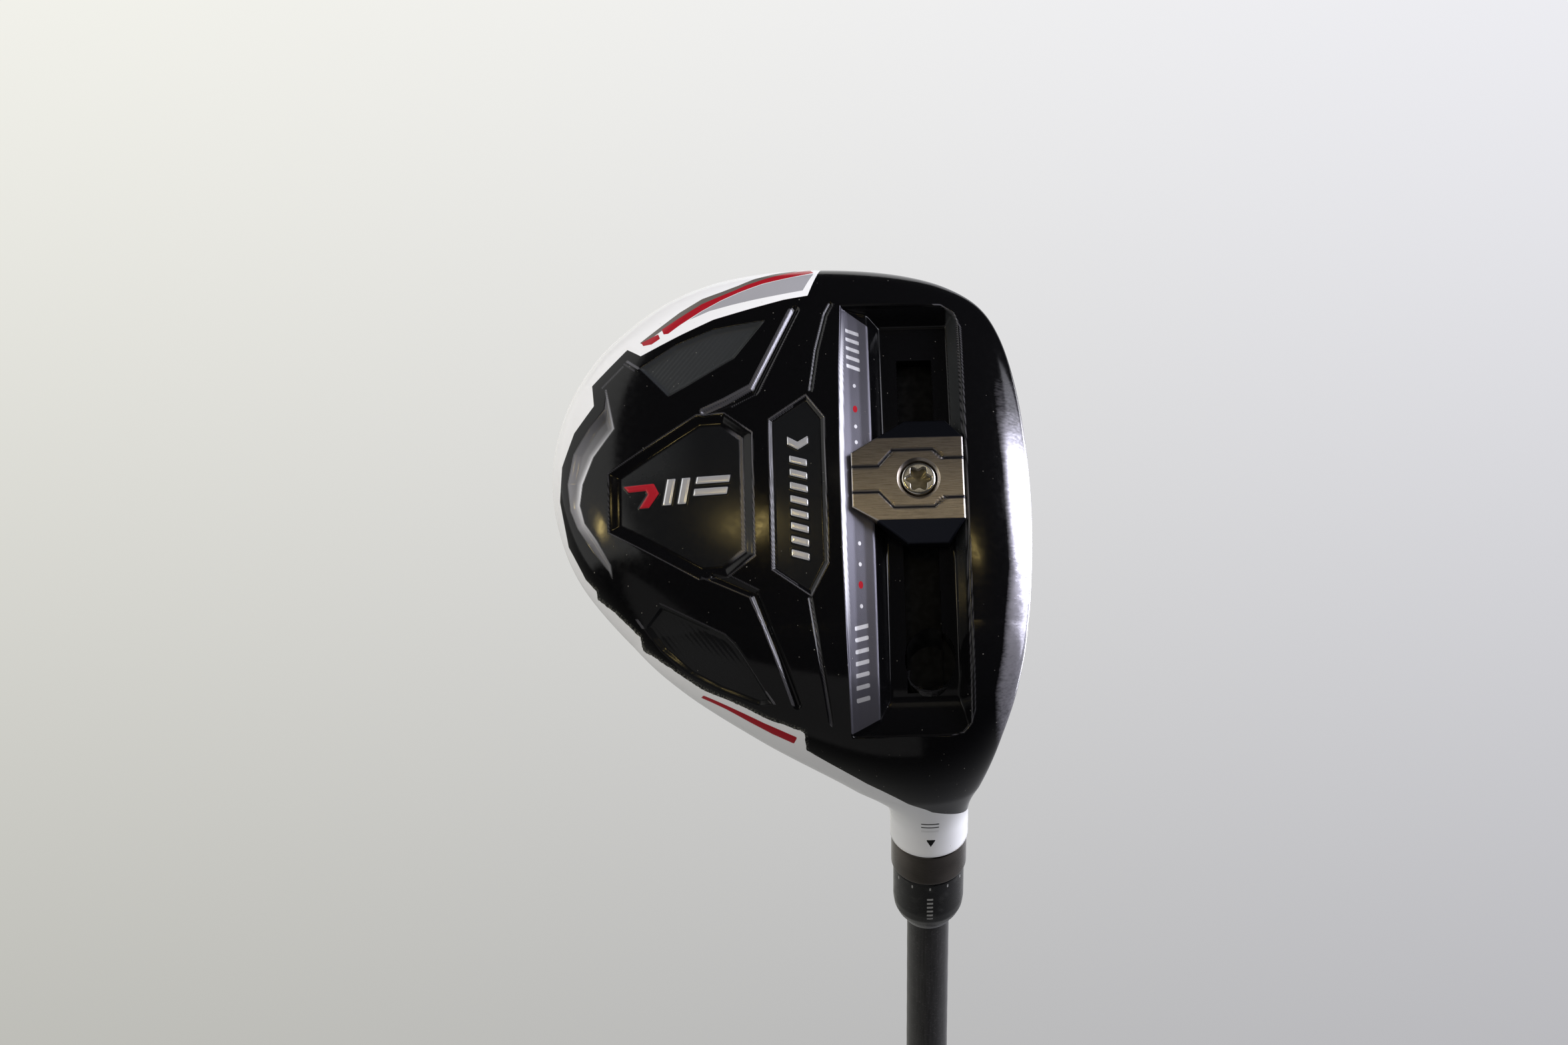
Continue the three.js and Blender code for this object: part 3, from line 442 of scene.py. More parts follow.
def add_mesh(name, points, faces, smooth=True):
    """A mesh object of points in the row frame."""
    mesh = bpy.data.meshes.new(name)
    mesh.from_pydata(points.reshape(-1, 3).tolist(), [], faces)
    if smooth:
        mesh.shade_smooth()
    return add_object(name, mesh)


def add_object(name, data):
    made = bpy.data.objects.new(name, data)
    bpy.context.scene.collection.objects.link(made)
    return made


def piece(name, points, faces, body, node, slot, material, fields=None):
    """A mesh that stands for a CAD node, with values at its points."""
    used, shared = np.unique(faces, return_inverse=True)
    made = add_mesh(name, points.reshape(-1, 3)[used], shared.reshape(faces.shape).tolist())
    for field, values in (fields or {}).items():
        layer = made.data.attributes.new(field, "FLOAT", "POINT")
        layer.data.foreach_set("value", np.asarray(values, np.float32)[used])
    made.data.update()
    return finish_piece(made, body, node, slot, material)


def finish_piece(made, body, node, slot, material):
    made.data.materials.append(material)
    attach(made, body)
    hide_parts(node)
    return made


# ---------------------------------------------------------------- materials
class Nodes:
    """Short way to build a node tree. A source is a socket or a plain value."""

    def __init__(self, owner, space):
        owner.use_nodes = True
        self.tree = owner.node_tree
        self.coords = self.node("TexCoord", space)

    def link(self, source, target):
        if isinstance(source, bpy.types.NodeSocket):
            self.tree.links.new(source, target)
        else:
            target.default_value = source

    def node(self, kind, output, inputs=None, **settings):
        """Adds a node and gives one of its outputs."""
        node = self.tree.nodes.new("ShaderNode" + kind)
        for key, value in settings.items():
            setattr(node, key, value)
        for key, source in (inputs or {}).items():
            self.link(source, node.inputs[key])
        return node.outputs[output]

    def field(self, name):
        return self.node("Attribute", "Fac", attribute_name=name)

    def scaled(self, x, y, z, turn=(0, 0, 0)):
        return self.node("Mapping", "Vector",
                         {"Vector": self.coords, "Scale": (x, y, z), "Rotation": turn})

    def noise(self, scale, detail=2.0, vector=None, rough=0.5):
        return self.node("TexNoise", "Fac", {"Vector": vector or self.coords, "Scale": scale,
                                             "Detail": detail, "Roughness": rough})

    def cells(self, scale, vector=None, feature="F1"):
        return self.node("TexVoronoi", "Distance",
                         {"Vector": vector or self.coords, "Scale": scale}, feature=feature)

    def range(self, value, low, high, to_low=0.0, to_high=1.0, kind="LINEAR"):
        return self.node("MapRange", "Result",
                         {"Value": value, "From Min": low, "From Max": high, "To Min": to_low,
                          "To Max": to_high}, interpolation_type=kind)

    def spread(self, noise, low=0.0, high=1.0):
        """A noise's usual values, stretched from low to high."""
        return self.range(noise, 0.3, 0.7, low, high)

    def math(self, operation, a, b):
        return self.node("Math", 0, {0: a, 1: b}, operation=operation)

    def times(self, a, b):
        return self.math("MULTIPLY", a, b)

    def most(self, a, b):
        return self.math("MAXIMUM", a, b)

    def mix(self, factor, a, b):
        """Colours a and b, given as sockets or RGB triples."""
        a, b = (c if isinstance(c, bpy.types.NodeSocket) else (*c, 1.0) for c in (a, b))
        return self.node("Mix", 2, {"Factor": factor, 6: a, 7: b}, data_type="RGBA")

    def blend(self, factor, a, b):
        """Numbers a and b."""
        return self.node("Mix", 0, {"Factor": factor, 2: a, 3: b})

    def bump(self, height, distance, strength, under=None):
        inputs = {"Height": height, "Distance": distance, "Strength": strength}
        if under:
            inputs["Normal"] = under
        return self.node("Bump", "Normal", inputs)


class Paint(Nodes):
    """Node tree of a Principled material."""

    def __init__(self, name, **constants):
        self.material = bpy.data.materials.new(name)
        super().__init__(self.material, "Object")
        self.shader = self.tree.nodes["Principled BSDF"]
        for socket, value in constants.items():
            self.to(socket.replace("_", " "), value)

    def to(self, socket, source):
        self.link(source, self.shader.inputs[socket])

    def finish(self, colour, rough, normal):
        for socket, source in (("Base Color", colour), ("Roughness", rough), ("Normal", normal)):
            self.to(socket, source)
        return self.material


EDGE = 0.035        # half the width of a painted edge, mm
BLACK_PAINT = (0.0022, 0.0022, 0.0026)
WHITE_PAINT = (0.72, 0.725, 0.745)
RED_PAINT = (0.30, 0.008, 0.016)
GREY_PAINT = (0.29, 0.29, 0.315)
TAUPE_PAINT = (0.11, 0.10, 0.09)
SATIN_HIGHLIGHT_BLACK = (0.16, 0.158, 0.175)
PAINTED_HIGHLIGHT_GREY = (0.62, 0.62, 0.66)
STRIP_METAL = (0.10, 0.098, 0.118)
SILVER_MARK = (0.55, 0.55, 0.57)
PANEL_GREY = (0.022, 0.024, 0.026)
RUBBED_PAINT = (0.14, 0.14, 0.12)
DUST = (0.32, 0.31, 0.27)
BARE_METAL_HIGHLIGHT = (0.50, 0.49, 0.55)


def painted(n, base, name, colour):
    """Lays a painted area over base, from a field of distances in from its edge."""
    return n.mix(n.range(n.field(name), -EDGE, EDGE), base, colour)


def specks(n, scale, size):
    """Small scattered specks of dust, 0 to 1."""
    return n.range(n.cells(scale), size, size * 0.5)


def head_paint():
    n = Paint("head_paint", Specular_IOR_Level=0.22)
    satin, panel, gleam, worn = (n.field(name) for name in ("satin", "panel", "gleam", "worn"))
    strip, silver = (n.range(n.field(name), -EDGE, EDGE) for name in ("strip", "silver"))
    dust = n.times(specks(n, 520, 0.075), n.range(n.noise(60, 3), 0.45, 0.62))
    ragged = n.times(n.math("SUBTRACT", n.noise(700, 6, rough=0.65), 0.5), 0.55)
    black = n.math("ADD", n.field("black"), n.times(ragged, n.field("chips")))
    covered = n.range(black, -EDGE, EDGE)
    colour = n.mix(covered, WHITE_PAINT, BLACK_PAINT)
    rubbed = n.times(n.times(n.range(n.field("black"), 0.6, 0.1), n.field("chips")), covered)
    rubbed = n.times(rubbed, n.range(n.noise(3200, 4), 0.45, 0.7))
    colour = n.mix(rubbed, colour, RUBBED_PAINT)
    for name, paint in (("taupe", TAUPE_PAINT), ("grey", GREY_PAINT), ("red", RED_PAINT),
                        ("print", BLACK_PAINT)):
        colour = painted(n, colour, name, paint)
    # The satiny and pale grey layers laid below are painted highlights.
    for factor, paint in ((panel, PANEL_GREY), (satin, SATIN_HIGHLIGHT_BLACK), (strip, STRIP_METAL),
                          (gleam, PAINTED_HIGHLIGHT_GREY), (silver, SILVER_MARK)):
        colour = n.mix(factor, colour, paint)
    colour = painted(n, colour, "red_mark", RED_PAINT)
    colour = n.mix(n.times(dust, 0.5), colour, DUST)
    # The leading edge: rubbed through to metal, hazed and streaked; wear and a painted highlight.
    hairs = n.range(n.noise(500, 3, n.scaled(1, 5, 5)), 0.3, 0.7, -0.12, 0.12)
    haze = n.math("ADD", worn, n.times(hairs, n.range(worn, 0, 0.3)))
    streaks = n.spread(n.noise(70, 4, n.scaled(1, 14, 14)), 0.7, 1)
    bare_and_highlight = n.times(n.range(haze, 0.05, 1.0), streaks)
    metallic = n.most(n.times(strip, n.range(gleam, 0, 1, 0.7, 0.2)), n.times(silver, 0.6))
    n.to("Metallic", n.most(n.most(metallic, n.times(satin, 0.85)), bare_and_highlight))
    rough = n.spread(n.noise(900, 3), 0.09, 0.16)
    matted = n.times(n.range(n.noise(9000, 2), 0.60, 0.72), 0.3)
    for factor, level in ((satin, 0.3), (panel, 0.42), (strip, 0.36), (bare_and_highlight, 0.3),
                          (matted, 0.4)):
        rough = n.blend(factor, rough, level)
    peel = n.bump(n.noise(700, 2), 0.00001, 0.35)
    blast = n.bump(n.times(n.noise(9000, 2), n.most(strip, satin)), 0.00004, 0.5, peel)
    return n.finish(n.mix(bare_and_highlight, colour, BARE_METAL_HIGHLIGHT), n.most(rough, n.times(dust, 0.7)),
                    n.bump(dust, 0.00004, 0.6, blast))


def metal(name, colour, rough, streak=(60, 60, 60), depth=0.00001, vary=0.25):
    """Machined metal with fine streaks, blotches and small scratches."""
    n = Paint(name, Metallic=1.0)
    lines = n.noise(60, 3, n.scaled(*streak))
    dark = tuple(c * (1 - vary) for c in colour)
    edges = n.cells(90, n.scaled(1, 8, 1, (0.4, 0.7, 0.3)), "DISTANCE_TO_EDGE")
    scratch = n.range(edges, 0.0, 0.012, 1.0, 0.0)
    return n.finish(n.mix(n.spread(n.noise(120, 3)), dark, colour),
                    n.spread(lines, rough * 0.8, rough * 1.3),
                    n.bump(n.math("SUBTRACT", lines, n.times(scratch, 0.6)), depth, 0.6))


def weight_steel():
    """Brushed steel, darker on its sloped ends, with painted shade in its grooves, painted
    highlights on its edges and a yellowish painted reflection towards one end.
    """
    n = Paint("weight_steel", Metallic=1.0)
    lines = n.noise(40, 4, n.scaled(8, 260, 260))
    fine = n.noise(160, 2, n.scaled(4, 240, 240))
    # Darker on the sloped ends, and painted shade in the grooves.
    dark = n.most(n.range(n.field("dark"), -0.04, 0.04), n.field("cut"))
    cool = n.mix(n.spread(lines), (0.145, 0.132, 0.126), (0.255, 0.235, 0.225))
    # A yellowish painted reflection, growing towards the heel end of the weight.
    warm_reflection = n.mix(n.spread(lines), (0.34, 0.295, 0.235), (0.60, 0.53, 0.445))
    colour = n.mix(dark, n.mix(n.field("warm_reflection"), cool, warm_reflection), (0.032, 0.035, 0.048))
    # Painted highlights: bright lines along the long edges and beside the grooves.
    return n.finish(n.mix(n.field("edge"), colour, (0.85, 0.84, 0.86)),
                    n.blend(dark, n.spread(fine, 0.26, 0.42), 0.42),
                    n.bump(n.math("ADD", lines, fine), 0.000012, 0.5))


def screw_steel():
    """Bright turned steel, with a dull brownish floor in its socket."""
    n = Paint("screw_steel")
    rings = n.noise(60, 3, n.scaled(60, 60, 60))
    socket_floor_tone = n.mix(n.spread(n.noise(900, 3)), (0.06, 0.048, 0.024), (0.11, 0.09, 0.052))
    n.to("Metallic", n.range(n.field("floor"), 0, 1, 1, 0.1))
    return n.finish(n.mix(n.field("floor"), (0.62, 0.60, 0.56), socket_floor_tone),
                    n.spread(rings, 0.14, 0.26), n.bump(rings, 0.00001, 0.5))


def gloss_white():
    n = Paint("crown_white", Coat_Weight=0.6, Coat_Roughness=0.04)
    tone = n.mix(n.noise(25, 2), (0.76, 0.76, 0.785), WHITE_PAINT)
    return n.finish(n.mix(n.times(specks(n, 420, 0.05), 0.5), tone, (0.45, 0.43, 0.4)),
                    n.spread(n.noise(500, 3), 0.18, 0.28), n.bump(n.noise(600, 2), 0.00001, 0.4))


def face_steel():
    n = Paint("face_grey", Metallic=0.9)
    grain = n.noise(2600, 3)
    wear = n.range(n.noise(70, 3), 0.52, 0.7)
    colour = n.mix(wear, (0.045, 0.046, 0.05), (0.085, 0.085, 0.088))
    return n.finish(n.mix(n.range(n.field("score"), 0.2, 0.7), colour, (0.5, 0.5, 0.5)),
                    n.spread(grain, 0.32, 0.46), n.bump(grain, 0.00003, 0.4))


def collar_black():
    n = Paint("collar_black", Specular_IOR_Level=0.25)
    scuff = n.times(n.range(n.noise(380, 4), 0.56, 0.72), 0.5)
    base = n.mix(scuff, (0.006, 0.006, 0.0065), (0.03, 0.03, 0.03))
    return n.finish(n.mix(n.range(n.field("print"), -0.05, 0.05), base, (0.24, 0.24, 0.235)),
                    n.spread(n.noise(700, 3), 0.2, 0.34), n.bump(n.noise(900, 2), 0.00001, 0.5))


def graphite():
    n = Paint("shaft_graphite", Coat_Weight=0.15, Coat_Roughness=0.15, Specular_IOR_Level=0.25)
    fibre = n.noise(60, 4, n.scaled(40, 40, 1.5))
    fleck = n.range(n.noise(2400, 2), 0.55, 0.75, 0, 0.5)
    colour = n.mix(n.range(fibre, 0.35, 0.65), (0.009, 0.0085, 0.009), (0.02, 0.019, 0.02))
    return n.finish(n.mix(fleck, colour, (0.06, 0.058, 0.062)), n.spread(fibre, 0.3, 0.4),
                    n.bump(fibre, 0.00001, 0.3))


def rubber():
    n = Paint("grip_rubber", Specular_IOR_Level=0.3, Sheen_Weight=0.25)
    grain = n.noise(1800, 4)
    worn = n.range(n.noise(22, 3), 0.45, 0.7)
    colour = n.mix(worn, (0.014, 0.014, 0.015), (0.026, 0.026, 0.026))
    return n.finish(n.mix(n.field("cut"), colour, (0.007, 0.007, 0.008)),
                    n.spread(grain, 0.66, 0.86), n.bump(grain, 0.00008, 0.6))


def fibrous(name, low, high, scale, depth):
    """Foam or tape."""
    n = Paint(name, Specular_IOR_Level=0.2)
    grain = n.noise(scale, 4)
    return n.finish(n.mix(n.spread(grain), low, high), n.spread(grain, 0.75, 0.95),
                    n.bump(grain, depth, 0.7))


def dark_channel():
    """Satin black paint inside the slot and the port."""
    n = Paint("channel_black", Specular_IOR_Level=0.08)
    grain = n.noise(800, 3)
    colour = n.mix(n.range(grain, 0.4, 0.7), (0.002, 0.002, 0.0022), (0.005, 0.005, 0.005))
    return n.finish(colour, n.spread(grain, 0.4, 0.6), n.bump(grain, 0.00002, 0.4))


def dress(node, material):
    """Gives a CAD node that stays as it is a better material."""
    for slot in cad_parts[node].material_slots:
        slot.material = material


# ---------------------------------------------------------------- head pieces
SPACING = 0.2
HOSEL_SPACING = 0.6
SHELL_FROM = 21.0     # the sole piece stops here and the hosel goes on with the shell
NOSE_TO = -76.0       # the toe's own rows stop here and the even ones start
SOLE_REAR, SOLE_FRONT = 76, 26      # lengths across the sole, behind and before its low line
FAR = 50.0            # a distance that is well outside any painted area
BODY = "head", "head_body", "sole_black"      # what the pieces of the body ride and replace, and a slot name


def row_positions():
    """Station positions of the rows: those of the sole, and those of the hosel beyond them."""
    nose = np.linspace(0, 1, 24, endpoint=False) ** 1.5
    count = round((SHELL_FROM - NOSE_TO) / SPACING)
    body = positions_at(np.linspace(NOSE_TO, SHELL_FROM, count + 1))
    count = int((HOSEL_TOP - SHELL_FROM) / HOSEL_SPACING)
    hosel = positions_at(np.linspace(SHELL_FROM, HOSEL_TOP, count + 1)[1:])
    return np.concatenate([nose, body]), np.concatenate([body[-1:], hosel])


def sole_columns():
    return [(0, even_steps(0, int(SOLE_REAR / SPACING))),
            (1, even_steps(1, int(SOLE_FRONT / SPACING))[1:])]


def shell_columns():
    return [(2, even_steps(2, 36)), (3, even_steps(3, 10)[1:]), (4, even_steps(4, 110)[1:])]


def head_grid(positions, columns):
    """Grid of the outer form, with the distance s and the span value of each of its points."""
    grid = form(positions, columns)
    s = np.repeat(stations(positions)[:, 0], grid.shape[1])
    spans = np.concatenate([span + t for span, t in columns])
    return grid, s, np.tile(spans, len(grid))


def paint_fields(points, s, spans):
    """Distances in from the edges of the painted areas, in mm, and where the edges chip."""
    p, height = points[:, :2], points[:, 2]
    edge = np.interp(spans, *HOSEL_EDGE)
    toe = np.minimum(p[:, 0] + 18.8 - 0.4 * (height - 13), -56 - s)
    toe = np.minimum(toe, 26.5 - height)
    lower = np.minimum(inside(p, BLACK), edge - s)
    frame_top = 32.5 + 30 * np.maximum(2.3 - spans, 0)
    frame_side = np.minimum(frame_top - height, 36.4 - s)
    away = np.where((height < 17.5) & (spans <= 1), 0, FAR)
    return {
        "black": np.where(spans <= 2, lower, np.where(spans < 3, frame_side, toe)),
        "chips": soft(s + 16, 8) * soft(22 - s, 6) * (p[:, 0] < -22),
        "red": any_of([inside(p, o) for o in (RED_BLADE, RED_TAIL, RED_HEEL)]) - away,
        "grey": inside(p, GREY_PANEL) - away,
        "taupe": inside(p, TAUPE_WEDGE) - away,
    }


def unmarked_fields(points, s, spans):
    """The fields of a piece that none of the sole's marks reach."""
    blank = np.zeros(len(points))
    return {**paint_fields(points, s, spans), "satin": blank, "panel": blank, "worn": blank,
            **{name: blank - FAR for name in ("print", "strip", "silver", "red_mark")}}


def hosel_print(points):
    """Three bars and a triangle on the camera side of the hosel, in distance from the edge."""
    along = points[:, 1] * TILT_SIN + points[:, 2] * TILT_COS
    out = points[:, 1] * TILT_COS - points[:, 2] * TILT_SIN
    q = np.stack([np.arctan2(points[:, 0], out) * HOSEL_R, along], -1)
    marks = [[(-1.9, h), (1.5, h), (1.5, h + 0.55), (-1.9, h + 0.55)] for h in (45.6, 46.9, 48.2)]
    marks.append([(-1.0, 51.0), (1.0, 51.0), (0, 53.0)])
    return np.where(out > 0, any_of([inside(q, mark) for mark in marks]), -FAR)


def sole_fields(p, s, spans, points):
    """All the paint and wear of the sole, with its painted highlights and sheen."""
    toe, heel, scoop, pad, channel, name = (inside(p, outline) for outline in (
        TOE_PANEL, HEEL_PANEL, REAR_SCOOP, REAR_PAD, CHANNEL, NAME_PANEL))
    x, y = p[:, 0], p[:, 1]
    # Satiny metal on the edges of the grooves, pads, panels and channel that face the light:
    # painted highlights.
    satin = [strength * band(near(p, line), 0, half) for line, half, strength in GROOVE_LINES]
    foot = band(pad, 1.95, 2.75) * soft(x + 39, 3) * soft(y + 42, 4) * soft(-13 - y, 4)
    satin += [0.35 * band(pad, 0, 0.22), band(pad, 0, 0.3) * soft(x + 36, 2), foot]
    satin += [0.8 * band(name, 0, 0.26), 0.6 * band(name, 0.42, 0.6) * (x < -25)]
    satin += [band(channel, 0, 0.22) * (x > 3) * (0.3 + 0.7 * soft(-y, 30)),
              0.7 * band(x, 7.45, 7.66) * (channel > 0)]
    # Pale grey painted highlights: a bright line down the rear edge of the scale strip, strongest
    # along its middle, and a highlight across the rear scoop, brightest at its middle and by its
    # inner edge.
    rim = band(channel, 0.15, 0.95) * soft(-12 - x, 1) * soft(y + 66, 16) * soft(5 - y, 22)
    gleam = ramp(scoop, 0.15) * (0.1 + 0.9 * np.exp(-((y + 31.5) / 7.5) ** 2 / 2))
    gleam *= 0.35 + 0.65 * soft(1.9 - near(p, SCOOP_INNER_EDGE), 1.6)
    # The pad's floor: grey, with a painted sheen that brightens it towards the rear and the toe.
    pad_grey_and_sheen = 0.18 + 0.4 * soft(-x - 42, 12) * soft(-y - 27, 8)
    wall = band(x, 5.55, 7.45) * (channel > 0) * soft(-y, 30)
    # Metal rubbed through on the leading edge, placed and graded as a painted highlight.
    worn = soft(x - np.interp(y, *EDGE_PLACE) + 0.7, 2.2) * np.interp(y, *EDGE_WEAR_AND_HIGHLIGHT)
    toe_end = y + 66.8 - (x + 15.3) * 0.75
    heel_end = 18.6 - y - (x + 15.3) * 0.5
    return {
        **paint_fields(points, s, spans),
        "print": hosel_print(points),
        "worn": np.where(spans > 1.5, worn, 0),
        "gleam": np.maximum(gleam, rim),
        "satin": any_of(satin),
        "panel": any_of([ramp(toe, 0.15), 0.15 * ramp(heel, 0.15), pad_grey_and_sheen * ramp(pad - 2.4, 0.2),
                         0.2 * ramp(name - 0.9, 0.1), 0.9 * wall]),
        "strip": np.min([-9.95 - x, channel + 0.05, toe_end, heel_end], 0),
        "silver": any_of([inside(p, mark) for mark in SILVER_MARKS + STRIP_BARS]
                         + [dots(p, STRIP_DOTS, 0.3, 0.42)]),
        "red_mark": np.maximum(inside(p, PAD_CHEVRON), dots(p, STRIP_RED, 0.45, 0.75)),
    }


SOLE_STRIPS = ("sole_rear", "sole_middle", "sole_front")


def make_sole(material):
    """Sole with its weight channel, pads, panels and grooves, in three strips."""
    positions, _ = row_positions()
    grid, s, spans = head_grid(positions, sole_columns())
    rows, count = grid.shape[:2]
    normals = outward(grid, 2, -1).reshape(-1, 3)
    points = grid.reshape(-1, 3)
    p = points[:, :2]
    flat = soft(-normals[:, 2] - 0.3, 0.2)
    depth = flat * sole_depth(p) * (1 - soft(inside(p, CHANNEL) + 0.35, 0.35))
    fields = sole_fields(p, s, spans, points)
    final = points - normals * depth[:, None]
    final[:, 2] += flat * channel_drop(p, points[:, 2])
    centre = p[grid_quads(rows, count)].mean(1)
    hole = (np.maximum(inside(centre, SLOT), port_inside(centre)) > 0).reshape(rows - 1, -1)
    index = np.arange(rows * count).reshape(rows, count)
    breaks = np.linspace(0, count - 1, len(SOLE_STRIPS) + 1).astype(int)
    for name, first, last in zip(SOLE_STRIPS, breaks, breaks[1:]):
        strip = index[:, first:last + 1].ravel()
        faces = strip[grid_quads(rows, last + 1 - first)]
        faces = faces[~hole[:, first:last].ravel()]
        piece(name, row(final), faces, *BODY, material, fields)


def make_shell(material):
    """Face frame, top line, skirt and crown side of the body."""
    positions, _ = row_positions()
    columns = shell_columns()
    grid, s, spans = head_grid(positions, columns)
    final = grid - outward(grid, 2, 1) * under_patches(positions, columns, grid)[..., None]
    piece("skirt", row(final), grid_quads(*grid.shape[:2]), *BODY, material,
          unmarked_fields(grid.reshape(-1, 3), s, spans))


def make_hosel(material):
    """Heel end of the body, up to the rim of the hosel."""
    _, positions = row_positions()
    columns = sole_columns() + [(span, t[1:] if span == 2 else t) for span, t in shell_columns()]
    columns[-1] = (4, columns[-1][1][:-1])
    grid, s, spans = head_grid(positions, columns)
    ring, axis = grid[-1], np.array([0, math.cos(LIE), math.sin(LIE)])
    centre = ring.mean(0)
    rim = [centre + (ring - centre) * k + axis * lift
           for k, lift in ((0.97, 0.18), (0.83, 0.18), (0.81, -0.6))]
    extra = len(rim) * len(ring)
    grid = np.concatenate([grid, np.stack(rim)])
    points = grid.reshape(-1, 3)
    fields = unmarked_fields(points, np.append(s, np.full(extra, HOSEL_TOP)),
                             np.append(spans, spans[:extra]))
    fields["print"] = hosel_print(points)
    piece("hosel", row(points), grid_quads(*grid.shape[:2], closed=True), *BODY, material, fields)


def face_margin(q):
    return 2.6 + 9 * ((q - 7) / 3.1) ** 6


# Patches let into the body: positions along the head, span, and margins from the span's ends.
CROWN = {"from": 1.6, "to": 12.4, "span": 4, "low": lambda q: 2.5 + 0 * q,
         "high": lambda q: 3 + 0 * q}
FACE = {"from": 3.9, "to": 10.0, "span": 2, "low": face_margin,
        "high": lambda q: 0.8 * face_margin(q)}


def run_along(points):
    """Distance along each line of points from its start."""
    steps = np.linalg.norm(np.diff(points, axis=-2), axis=-1)
    return np.concatenate([np.zeros((*steps.shape[:-1], 1)), np.cumsum(steps, -1)], -1)


def patch_grid(patch, rows, columns):
    """Grid of points over a patch, evenly spaced across each section."""
    positions = np.linspace(patch["from"], patch["to"], rows)
    lines = form(positions, [(patch["span"], np.linspace(0, 1, 300))])
    out = np.zeros((rows, columns, 3))
    for i, (q, line, run) in enumerate(zip(positions, lines, run_along(lines))):
        low, high = patch["low"](q), patch["high"](q)
        squeeze = min(1, (run[-1] - 1.5) / (low + high))
        at = np.linspace(low * squeeze, run[-1] - high * squeeze, columns)
        out[i] = np.stack([np.interp(at, run, axis) for axis in line.T], -1)
    return out


def under_patches(positions, columns, grid):
    """How far the shell's own skin drops under the crown and face patches."""
    drop = np.zeros(grid.shape[:2])
    s = stations(positions)[:, 0]
    start = 0
    for span, t in columns:
        end = start + len(t)
        for patch in (CROWN, FACE):
            if patch["span"] == span:
                run = run_along(grid[:, start:end])
                q = np.clip(positions, patch["from"], patch["to"])
                s0, s1 = np.interp((patch["from"], patch["to"]), positions, s)
                sides = np.minimum(run - patch["low"](q)[:, None],
                                   (run[:, -1:] - patch["high"](q)[:, None]) - run)
                inner = np.minimum(sides, np.minimum(s - s0, s1 - s)[:, None])
                drop[:, start:end] = 1.2 * ramp(inner - 0.9, 0.8)
        start = end
    return drop


def loop_round(index):
    """The border of a block of indices, as a closed loop."""
    return np.concatenate([index[0], index[1:, -1], index[-1, -2::-1], index[-2:0:-1, 0]])


def slab_faces(rows, columns, hole=None):
    """Faces of a top sheet, an under sheet and the walls between, with a rectangle left out."""
    size = rows * columns
    index = np.arange(size).reshape(rows, columns)
    keep = np.ones((rows - 1, columns - 1), bool)
    loops = [loop_round(index)]
    if hole:
        i0, i1, j0, j1 = hole
        keep[i0:i1, j0:j1] = False
        loops.append(loop_round(index[i0:i1 + 1, j0:j1 + 1])[::-1])
    quads = grid_quads(rows, columns)[keep.ravel()]
    walls = [np.stack([a, np.roll(a, -1), np.roll(a, -1) + size, a + size], -1) for a in loops]
    return np.concatenate([quads, quads[:, ::-1] + size, *walls])


def slab(name, top, under, body, node, slot, material, fields=None, hole=None):
    """Closed plate between two grids of points in the row frame."""
    points = np.concatenate([top.reshape(-1, 3), under.reshape(-1, 3)])
    values = {k: np.tile(v.ravel(), 2) for k, v in (fields or {}).items()}
    faces = slab_faces(*top.shape[:2], hole)
    return piece(name, points, faces, body, node, slot, material, values)


def patch_plate(name, outer, normals, thickness, node, slot, material, fields=None):
    """Plate let into the head, a little proud, with its rim rounded off."""
    rows, columns = outer.shape[:2]
    i, j = np.arange(rows)[:, None], np.arange(columns)[None, :]
    ring = np.minimum(np.minimum(i, rows - 1 - i), np.minimum(j, columns - 1 - j))
    lift = np.interp(ring, (0, 1, 2), (-0.12, 0.05, 0.1))
    slab(name, row(outer + normals * lift[..., None]), row(outer - normals * thickness), "head",
         node, slot, material, fields)


def make_crown(material):
    grid = patch_grid(CROWN, 180, 150)
    patch_plate("crown", grid, outward(grid, 2, 1), 0.8, "crown_shell", "crown_white", material)


SCORE_HEIGHTS = (14, 19, 24, 29)
SCORE_SIDES = ((-62, -44), (-17, 0))


def make_face(material):
    grid = patch_grid(FACE, 260, 130)
    normals = outward(grid, 0, 1)
    y, z = grid[..., 1], grid[..., 2]
    cut = np.zeros_like(y)
    for height in SCORE_HEIGHTS:
        for low, high in SCORE_SIDES:
            line = 1 - ramp(np.abs(z - height) - 0.2, 0.22)
            cut = np.maximum(cut, line * ramp(np.minimum(y - low, high - y), 0.3))
    grid = grid - normals * (0.28 * cut)[..., None]
    patch_plate("face", grid, normals, 2.2, "face_plate", "face_grey", material, {"score": cut})


# ---------------------------------------------------------------- channel insides
def make_slot(material):
    """Walls and floor of the T-slot under the channel floor."""
    outline = [(-4.5, 5.45), (-4.5, 5.7), (-4.5, 6.75), (-7.4, 6.8), (-7.4, 9.2), (5.2, 9.2),
               (5.2, 6.8), (2.3, 6.75), (2.3, 5.7), (2.3, 5.45)]
    grid = np.array([[(x, y, track_line(y) + d) for x, d in outline]
                     for y in np.linspace(-56, 11, 60)])
    rows, columns = grid.shape[:2]
    faces = grid_quads(rows, columns).tolist()
    faces += [list(range(columns)), list(range((rows - 1) * columns, rows * columns))]
    made = add_mesh("rail_slot", row(grid), faces, smooth=False)
    finish_piece(made, *BODY, material)


def off_shaft(x, out, along):
    """Head frame points given by the shaft: across, out from it in its plane, and along it."""
    return np.stack(np.broadcast_arrays(x, out * TILT_COS + along * TILT_SIN,
                                        along * TILT_COS - out * TILT_SIN), -1)


